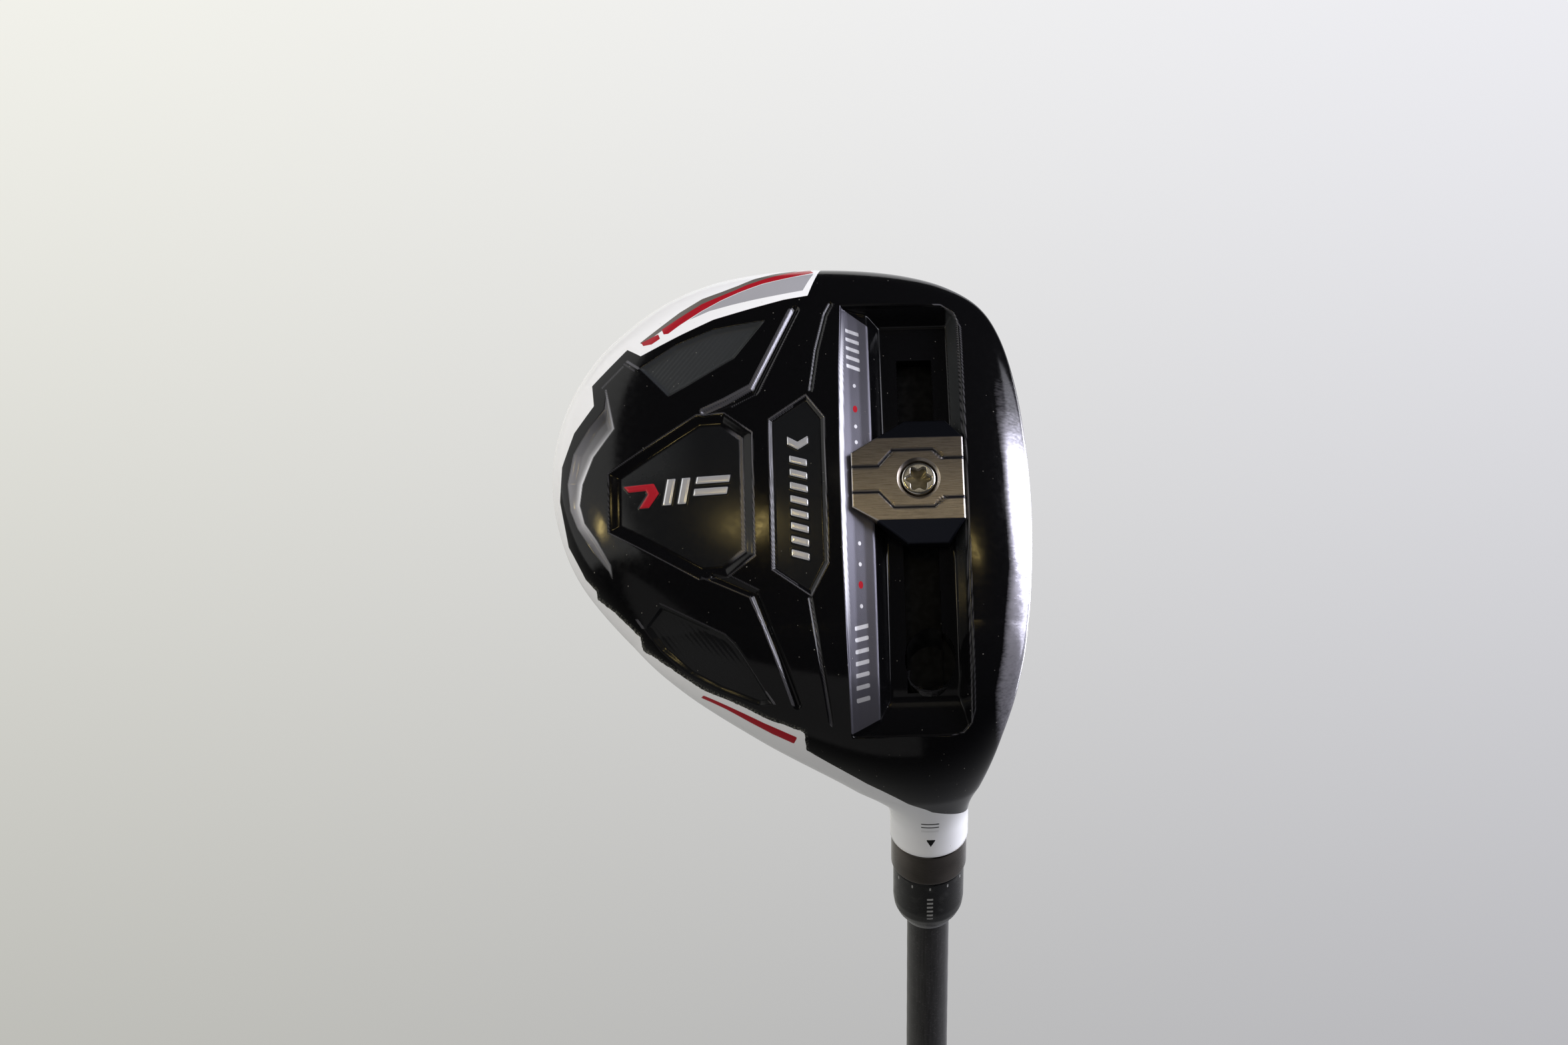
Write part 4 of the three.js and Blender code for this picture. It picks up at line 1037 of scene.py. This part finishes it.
def make_port(material):
    """Bore that the wrench goes in, down to the seat of the hosel screw."""
    turns = np.linspace(0, 2 * math.pi, 96, endpoint=False)
    x, out = PORT_R * np.cos(turns), PORT_R * np.sin(turns)
    start = np.full(len(turns), 9.0)
    for _ in range(20):       # closes in on where the bore meets the channel's floor
        _, y, z = off_shaft(x, out, start).T
        start = start + (track_line(y) + FLOOR_DEPTH - z) / TILT_COS
    rings = [off_shaft(x, out, start + (PORT_SEAT - start) * k) for k in np.linspace(0, 1, 24)]
    rings += [off_shaft(x * k, out * k, PORT_SEAT) for k in (4.2 / PORT_R, 3.4 / PORT_R)]
    piece("screw_port", row(rings), grid_quads(len(rings), len(turns), closed=True), *BODY,
          material)


# ---------------------------------------------------------------- sliding weight
PLAN_HALF = [(-14.2, 5.5), (-9.5, 8.3), (-3.5, 12.5), (4.3, 12.5), (7.5, 8.3)]
PLAN = PLAN_HALF + [(x, -y) for x, y in reversed(PLAN_HALF)]
SCREW_X = -1.25
FACE_LEVEL = 0.15
SLOPE_START = 8.3
SLOPE_FALL = 2.85 / 5.2
GROOVE_HALF, GROOVE_DEPTH = 0.36, 0.34
GROOVES = [[(x, side * y) for x, y in
            ((-16, 2.6), (-9, 2.6), (-6.2, 5.8), (1.6, 5.8), (3.6, 4), (9, 4))] for side in (-1, 1)]
HOLE_RINGS = (0, 0.45, 0.9, 1.35, 1.8, 2.2, 2.35, 2.5, 2.65, 2.8, 2.95, 3.1, 3.25, 3.4, 3.5, 3.56,
              3.62, 3.7, 3.85, 4.05, 4.2, 4.26, 4.4, 4.55, 4.7)
HOLE_R = 2.2
WEIGHT_SPACING = 0.17
ROUND_TO, SQUARE_FROM = 4.4, 5.6


def in_track(points):
    """The weight's own frame, laid out at the middle of the track, to its place in the head."""
    p = np.asarray(points, float)
    turn = WEIGHT_OFFSET / TRACK_R
    z = p[..., 2] - TRACK_R
    y = p[..., 1] * math.cos(turn) - z * math.sin(turn) + TRACK_Y
    z = p[..., 1] * math.sin(turn) + z * math.cos(turn) + TRACK_R
    return row(np.stack([p[..., 0], y, z], -1))


def weight_level(p):
    """Depth of the weight's outer surface."""
    slope = np.maximum(np.abs(p[:, 1]) - SLOPE_START, 0) * SLOPE_FALL
    chamfer = 0.25 * (1 - soft(inside(p, PLAN), 0.3)) ** 2
    r = np.hypot(p[:, 0] - SCREW_X, p[:, 1])
    sink = np.interp(r, (3.5, 3.56, 3.62, 4.2), (2.95, 2.9, 0.6, 0))
    cut = any_of([groove(p, g, GROOVE_HALF, GROOVE_DEPTH) for g in GROOVES])
    return FACE_LEVEL + slope + chamfer + np.maximum(sink, cut * (r > ROUND_TO))


def under_level(p):
    """Depth of the weight's underside, which follows the channel."""
    bend = TRACK_R - np.sqrt(TRACK_R ** 2 - p[:, 1] ** 2)
    return np.interp(p[:, 0], (-15, -10.3, -7.2, 5, 7.9), (0.45, 2.2, 5.05, 5.05, 0.6)) + bend


def axis_lines(centre, low, high, stops=()):
    """Grid lines from low to high: rings round the centre, and even steps beyond them."""
    far = HOLE_RINGS[-1]
    lines = [centre + side * r for r in HOLE_RINGS for side in (-1, 1)]
    lines += [*np.arange(centre - far, low, -WEIGHT_SPACING),
              *np.arange(centre + far, high, WEIGHT_SPACING), *stops,
              low, low + 0.06, low + 0.14, high - 0.14, high - 0.06, high]
    lines = np.unique(np.round(lines, 3))
    return lines[np.concatenate([[True], np.diff(lines) > 0.035])]


def make_weight(material):
    """Octagonal weight with sloped ends, fine grooves and the screw's countersink."""
    edge_x, edge_y = np.array(PLAN_HALF).T
    stops = [side * y for y in edge_y[:2] for side in (-1, 1)]
    xs = axis_lines(SCREW_X, edge_x[0], edge_x[-1])
    ys = axis_lines(0, -edge_y.max(), edge_y.max(), stops)
    left = np.interp(np.abs(ys), edge_y[:3], edge_x[:3])
    right = np.interp(np.abs(ys), edge_y[:2:-1], edge_x[:2:-1])
    u = (xs - xs[0]) / (xs[-1] - xs[0])
    x = left[None, :] + (right - left)[None, :] * u[:, None]
    y = np.broadcast_to(ys[None, :], x.shape)
    square = np.maximum(np.abs(x - SCREW_X), np.abs(y))
    circle = np.hypot(x - SCREW_X, y)
    pull = 1 - ramp(square - ROUND_TO, SQUARE_FROM - ROUND_TO)
    scale = 1 + pull * (square / np.maximum(circle, 1e-6) - 1)
    p = np.stack([SCREW_X + (x - SCREW_X) * scale, y * scale], -1).reshape(-1, 2)
    top = np.column_stack([p, weight_level(p)])
    r = np.hypot(p[:, 0] - SCREW_X, p[:, 1])
    under = np.column_stack([p, np.maximum(under_level(p), top[:, 2] + 0.05)])
    shape = (*x.shape, 3)
    outside = r > ROUND_TO
    i = np.flatnonzero(np.abs(np.abs(xs - SCREW_X) - HOLE_R) < 0.01)
    j = np.flatnonzero(np.abs(np.abs(ys) - HOLE_R) < 0.01)
    # Painted shade in the grooves, painted highlight lines beside them and along the long edges,
    # and a yellowish painted reflection towards the heel end.
    groove_shade = any_of([1 - ramp(near(p, g) - 0.16, 0.12) for g in GROOVES]) * outside
    groove_highlight = any_of([band(near(p - (0, 0.3), g), 0, 0.1) for g in GROOVES]) * outside
    rim = band(inside(p, PLAN), 0, 0.12) * (np.abs(p[:, 1]) < SLOPE_START)
    slab("weight", in_track(top.reshape(shape)), in_track(under.reshape(shape)), "weight",
         "weight_block", "weight_steel", material,
         {"dark": np.abs(p[:, 1]) - SLOPE_START, "cut": groove_shade, "edge": np.maximum(0.5 * groove_highlight, rim),
          "warm_reflection": soft(p[:, 1] + 8, 15)}, (i[0], i[-1], j[0], j[-1]))


def lobed(radius, turns):
    """Radius of a six-lobe socket."""
    return radius * (1 + 0.16 * np.cos(6 * turns))


def make_weight_screw(material):
    """Head with a rounded rim and a six-lobe socket, over its shank."""
    turns = np.linspace(0, 2 * math.pi, 144, endpoint=False)
    profile = [(1.9, 8.7), (1.9, 2.8), (3.1, 2.8), (3.28, 2.6), (3.3, 0.75), (3.22, 0.5),
               (3.0, 0.38), (2.8, 0.35), (lobed(2.3, turns), 0.35), (lobed(2.22, turns), 0.43),
               (lobed(2.15, turns), 1.7), (0.9, 1.95), (0.02, 2.0)]
    floor_rings = (10, 11, 12)
    grid = np.array([np.stack(np.broadcast_arrays(
        SCREW_X + r * np.cos(turns), r * np.sin(turns), depth), -1) for r, depth in profile])
    floor = np.repeat([float(k in floor_rings) for k in range(len(profile))], len(turns))
    made = piece("weight_screw_head", in_track(grid),
                 grid_quads(*grid.shape[:2], closed=True), "weight_screw", "weight_screw",
                 "plain_steel", material, {"floor": floor})
    bevel = made.modifiers.new("bevel", "BEVEL")
    bevel.width, bevel.segments = 0.00006, 2
    bevel.limit_method, bevel.angle_limit = "ANGLE", math.radians(35)
    bevel.harden_normals = True


# ---------------------------------------------------------------- parts on the shaft
def turned(name, node, slot, material, profile, segments=160, shape=None, fields=None):
    """Solid of revolution on the shaft axis. Profile points are (radius, distance along)."""
    r, along = np.array(profile, float).T
    turns = np.linspace(0, 2 * math.pi, segments, endpoint=False)
    radius, length, around = np.broadcast_arrays(r[:, None], along[:, None], turns)
    if shape:
        radius = radius + shape(length, around)
    points = np.stack([radius * np.cos(around), radius * np.sin(around), length - CLUB], -1)
    values = {k: f(length, around).ravel() for k, f in (fields or {}).items()}
    piece(name, points / 1000, grid_quads(len(r), segments, closed=True), "shaft", node, slot,
          material, values)


def rounded(points, radius, step=None):
    """A profile with its corners rounded and, if asked, points no further than step apart."""
    p = [np.array(q, float) for q in points]
    out = [p[0]]
    for a, b, c in zip(p, p[1:], p[2:]):
        la, lc = np.linalg.norm(a - b), np.linalg.norm(c - b)
        cut = min(radius, la * 0.45, lc * 0.45)
        start, end = b + (a - b) * cut / la, b + (c - b) * cut / lc
        out += [(1 - t) ** 2 * start + 2 * t * (1 - t) * b + t * t * end
                for t in np.linspace(0, 1, 5)]
    out.append(p[-1])
    if not step:
        return out
    fine = [out[0]]
    for a, b in zip(out, out[1:]):
        count = max(1, int(math.hypot(*(b - a)) / step))
        fine += [a + (b - a) * k / count for k in range(1, count + 1)]
    return fine


TEETH = 12
CAMERA_SIDE = math.pi / 2      # the side of the shaft parts that carries the prints
COLLAR_R = 7.1


def make_sleeve(material):
    profile = [(4.6, 34), (6.2, 34), (6.2, 56.35), (7.3, 56.35), (7.55, 56.6), (7.55, 64.1),
               (7.3, 64.4), (6, 64.4), (6, 77), (4.6, 77), (4.6, 34)]
    turned("sleeve", "loft_sleeve", "sleeve_alloy", material, rounded(profile, 0.12, 0.5))


def collar_print(length, around):
    """White ticks, one per tooth, and a row of dashes, in distance from their edges."""
    def off_centre(angle, spacing):
        return np.abs((angle - CAMERA_SIDE + spacing / 2) % spacing - spacing / 2) * COLLAR_R

    ticks = np.minimum(0.16 - off_centre(around, 2 * math.pi / TEETH), 0.4 - np.abs(length - 66))
    place = (length - 69.0) / 1.15
    dash = np.minimum(0.26 - np.abs(place - np.round(place)) * 1.15,
                      0.62 - off_centre(around, 2 * math.pi))
    return np.maximum(ticks, np.where((length > 68.4) & (length < 75), dash, -1))


def make_collar(material):
    profile = [(6.3, 64.72), (6.95, 64.72), (7.12, 65.0), (7.12, 74), (6.9, 76), (6.2, 77.8),
               (5.3, 78.6), (4.6, 78.6), (4.6, 77.4), (6.3, 77.4), (6.3, 64.72)]
    turned("collar", "ferrule", "collar_black", material, rounded(profile, 0.35, 0.12), 220,
           fields={"print": collar_print})


def make_ring(material):
    profile = [(4.56, 78.9), (5.0, 78.9), (5.1, 79.0), (5.1, 79.7), (5.0, 79.8), (4.56, 79.8),
               (4.56, 78.9)]
    turned("shaft_ring", "trim_ring", "ring_grey", material, rounded(profile, 0.1))


SHAFT_LINE = ((33.4, 120, 400, 760, 960, 1095.4), (4.25, 4.27, 5.1, 6.3, 7.2, 7.6))
TIP, BUTT = SHAFT_LINE[0][0], SHAFT_LINE[0][-1]


def tube(line, low, high, count):
    """Points along a line of radii, as (radius, distance along)."""
    return [(np.interp(along, *line), along) for along in np.linspace(low, high, count)]


def make_shaft(material):
    """Tapered tube, a little waved by its wrapped layers."""
    inner = [(np.interp(along, *SHAFT_LINE) - 1.1, along) for along in (BUTT, 760, 400, 120, TIP)]
    end = [(SHAFT_LINE[1][0] - 0.25, TIP)]
    profile = end + tube(SHAFT_LINE, TIP, BUTT, 700)[1:] + inner + end
    turned("shaft_tube", "shaft", "shaft_graphite", material, profile, 96,
           lambda length, around: 0.012 * np.sin(3 * around + length * 0.9) * (length < 1095))


GRIP_LINE = ((828, 828.6, 834, 880, 950, 1020, 1070, 1092.4),
             (8.3, 8.9, 9, 9.7, 10.5, 11.6, 12.9, 13.2))
GRIP_FROM, GRIP_TO, GRIP_BAND = 836, 1084, 28
GRIP_CUT = 0.45


def grip_pattern(length, around):
    """Moulded pattern, 0 to 1: bands of short slanted grooves between plain bands."""
    count = np.floor((length - GRIP_FROM) / GRIP_BAND)
    place = length - GRIP_FROM - count * GRIP_BAND
    turn = around / (2 * math.pi) * 26 + np.where(count % 2 == 0, 1, -1) * place * 0.16
    ridge = 0.5 + 0.5 * np.cos(2 * math.pi * turn)
    cut = soft(ridge - 0.55, 0.3) * soft(place - 2.5, 0.8) * soft(25.5 - place, 0.8)
    ring = 1 - ramp(np.abs(place - 1.1) - 0.25, 0.3)
    return np.maximum(cut, ring * 0.8) * ((length > GRIP_FROM) & (length < GRIP_TO))


def make_grip(material):
    inner = [(np.interp(along, *SHAFT_LINE) + 0.95, along) for along in (1092.4, 960, 828.2)]
    end = [(8.3, 828.05)]
    profile = end + tube(GRIP_LINE, 828.6, 1092.4, 640) + inner + end
    turned("grip_rubber", "grip", "grip_rubber", material, profile, 140,
           lambda length, around: -GRIP_CUT * grip_pattern(length, around), {"cut": grip_pattern})


def make_cap(material):
    profile = [(0.01, 1096.1), (8.15, 1096.1), (8.15, 1093), (13.25, 1093), (13.65, 1093.4),
               (13.65, 1096.9), (12.8, 1098.1), (11.5, 1098.55), (9.4, 1098.55), (9.0, 1098.2),
               (8.6, 1098.55), (0.01, 1098.58)]
    turned("butt_cap", "grip_cap", "grip_rubber", material, rounded(profile, 0.35, 0.35))


# ---------------------------------------------------------------- camera, light and stage
CAMERA_MM = (-27.4, 177.1, -647.5)
VIEW_DOWN = math.radians(17)
ROLL = math.radians(1.5)
SENSOR = 36.0
FOCAL = 81.09
FLOOR_Z, FLOOR_R, FLAT_R = -1.75, 4.2, 3      # the floor under the hanging club, metres
COOL, AMBER = (0.90, 0.90, 1.0), (1.0, 0.76, 0.28)
BOXES = [             # head frame place, size in metres, power, colour
    ("right_box", (560, -260, -480), (0.2, 0.5), 1.7, COOL),
    ("edge_box", (610, -190, -190), (0.45, 0.7), 6, COOL),
    ("rim_box", (600, -180, 380), (0.3, 0.6), 5, (0.95, 0.95, 1.0)),
    ("left_box", (-620, -420, -330), (1.1, 1.2), 6, (1.0, 1.0, 0.98)),
    ("heel_box", (-420, 640, -420), (1.1, 1.1), 1.3, (1.0, 0.98, 0.96)),
    ("warm_panel", (52, -250, -545), (0.2, 0.14), 0.035, (1.0, 0.9, 0.7)),
    ("warm_lamp_left", (-758, -103, -520), (0.03, 0.1), 0.4, AMBER),
    ("warm_lamp_0", (-199, -135, -562), (0.014, 0.06), 0.07, AMBER),
    ("warm_lamp_1", (-158, -141, -575), (0.014, 0.06), 0.07, AMBER),
    ("warm_lamp_2", (201, -99, -563), (0.014, 0.06), 0.07, AMBER),
]
LIT_PLACE = (-25, -25, 5)


def camera_axes():
    """Right, up and forward of the camera, in the row frame."""
    right = np.array([1.0, 0, 0])
    forward = np.array([0, -math.sin(VIEW_DOWN), math.cos(VIEW_DOWN)])
    up = np.array([0, -math.cos(VIEW_DOWN), -math.sin(VIEW_DOWN)])
    c, s = math.cos(ROLL), math.sin(ROLL)
    return [row_direction(a) for a in (right * c - up * s, right * s + up * c, forward)]


def make_camera():
    right, up, forward = camera_axes()
    data = bpy.data.cameras.new("camera")
    data.sensor_width, data.lens = SENSOR, FOCAL
    data.clip_start, data.clip_end = 0.01, 100
    camera = add_object("camera", data)
    turn = Matrix((right, up, -forward)).transposed().to_4x4()
    camera.matrix_world = Matrix.Translation(Vector(row(CAMERA_MM))) @ turn
    bpy.context.scene.camera = camera


def make_lights():
    for name, place, size, power, colour in BOXES:
        data = bpy.data.lights.new(name, "AREA")
        data.shape = "RECTANGLE"
        data.size, data.size_y = size
        data.energy, data.color = power, colour
        lamp = add_object(name, data)
        lamp.location = Vector(row(place))
        lamp.rotation_mode = "QUATERNION"
        lamp.rotation_quaternion = Vector(row(place) - row(LIT_PLACE)).to_track_quat("Z", "Y")


def make_world():
    """Pale studio: bright beyond the head, and darker on the camera's side."""
    world = bpy.data.worlds.new("studio")
    bpy.context.scene.world = world
    n = Nodes(world, "Generated")
    right, up, forward = camera_axes()

    def along(direction, reach, low, high):
        inputs = {0: n.coords, 1: direction}
        dot = n.node("VectorMath", "Value", inputs, operation="DOT_PRODUCT")
        return n.range(dot, *reach, low, high, "SMOOTHSTEP")

    wall = along(up, (-0.3, 0.3), 0.42, 0.98)
    light = n.times(wall, along(forward, (-0.5, 0.6), 0.02, 1.0))
    tint = n.mix(along(right, (-0.26, 0.26), 0, 1), (1.0, 0.995, 0.93), (0.955, 0.955, 1.0))
    background = n.tree.nodes["Background"]
    n.link(tint, background.inputs["Color"])
    n.link(n.blend(n.node("LightPath", "Is Camera Ray"), light, wall),
           background.inputs["Strength"])


def make_floor():
    """Pale floor under the hanging club, gently turned up at its edge."""
    rings, spokes = 24, 64
    r = FLOOR_R * (np.arange(rings)[:, None] + 0.02) / (rings - 1)
    a = 2 * math.pi * np.arange(spokes) / spokes
    height = FLOOR_Z + 0.25 * np.maximum(0, r - FLAT_R) ** 2
    points = np.stack(np.broadcast_arrays(r * np.cos(a), r * np.sin(a), height), -1)
    floor = add_mesh("floor", points, grid_quads(rings, spokes, closed=True).tolist())
    n = Paint("floor_paper", Specular_IOR_Level=0.1)
    paper = n.mix(n.noise(3, 2), (0.78, 0.78, 0.79), (0.84, 0.84, 0.84))
    # Glossy rays see the floor nearly black: painted shade in the floor's reflections.
    colour = n.mix(n.node("LightPath", "Is Glossy Ray"), paper, (0.03, 0.03, 0.03))
    floor.data.materials.append(n.finish(colour, n.spread(n.noise(40, 3), 0.8, 0.9),
                                         n.bump(n.noise(300, 3), 0.0003, 0.2)))


# ---------------------------------------------------------------- assembly
def build():
    paint, channel, grip = head_paint(), dark_channel(), rubber()
    steel = metal("plain_steel", (0.52, 0.50, 0.46), 0.22)
    for make, material in (
            (make_sole, paint), (make_shell, paint), (make_hosel, paint), (make_slot, channel),
            (make_port, channel), (make_crown, gloss_white()), (make_face, face_steel()),
            (make_weight, weight_steel()), (make_weight_screw, screw_steel()),
            (make_sleeve, metal("sleeve_alloy", (0.13, 0.115, 0.105), 0.22, (2, 2, 300),
                                0.000012, 0.5)),
            (make_collar, collar_black()),
            (make_ring, metal("ring_grey", (0.32, 0.32, 0.33), 0.28, (2, 2, 200))),
            (make_shaft, graphite()), (make_grip, grip), (make_cap, grip)):
        make(material)
    for node, material in (
            ("hosel_screw", steel), ("screw_washer", steel), ("clamp_plate", steel),
            ("hosel_insert", metal("insert_alloy", (0.5, 0.5, 0.52), 0.35)),
            ("screw_retainer", metal("retainer_steel", (0.2, 0.2, 0.21), 0.3)),
            ("tip_plug", fibrous("plug_foam", (0.42, 0.38, 0.28), (0.55, 0.50, 0.38), 900,
                                 0.0002)),
            ("grip_tape", fibrous("tape", (0.62, 0.58, 0.46), (0.7, 0.66, 0.55), 1500,
                                  0.00005))):
        dress(node, material)


bpy.context.scene.view_settings.view_transform = "Standard"
build()
make_camera()
make_lights()
make_world()
make_floor()
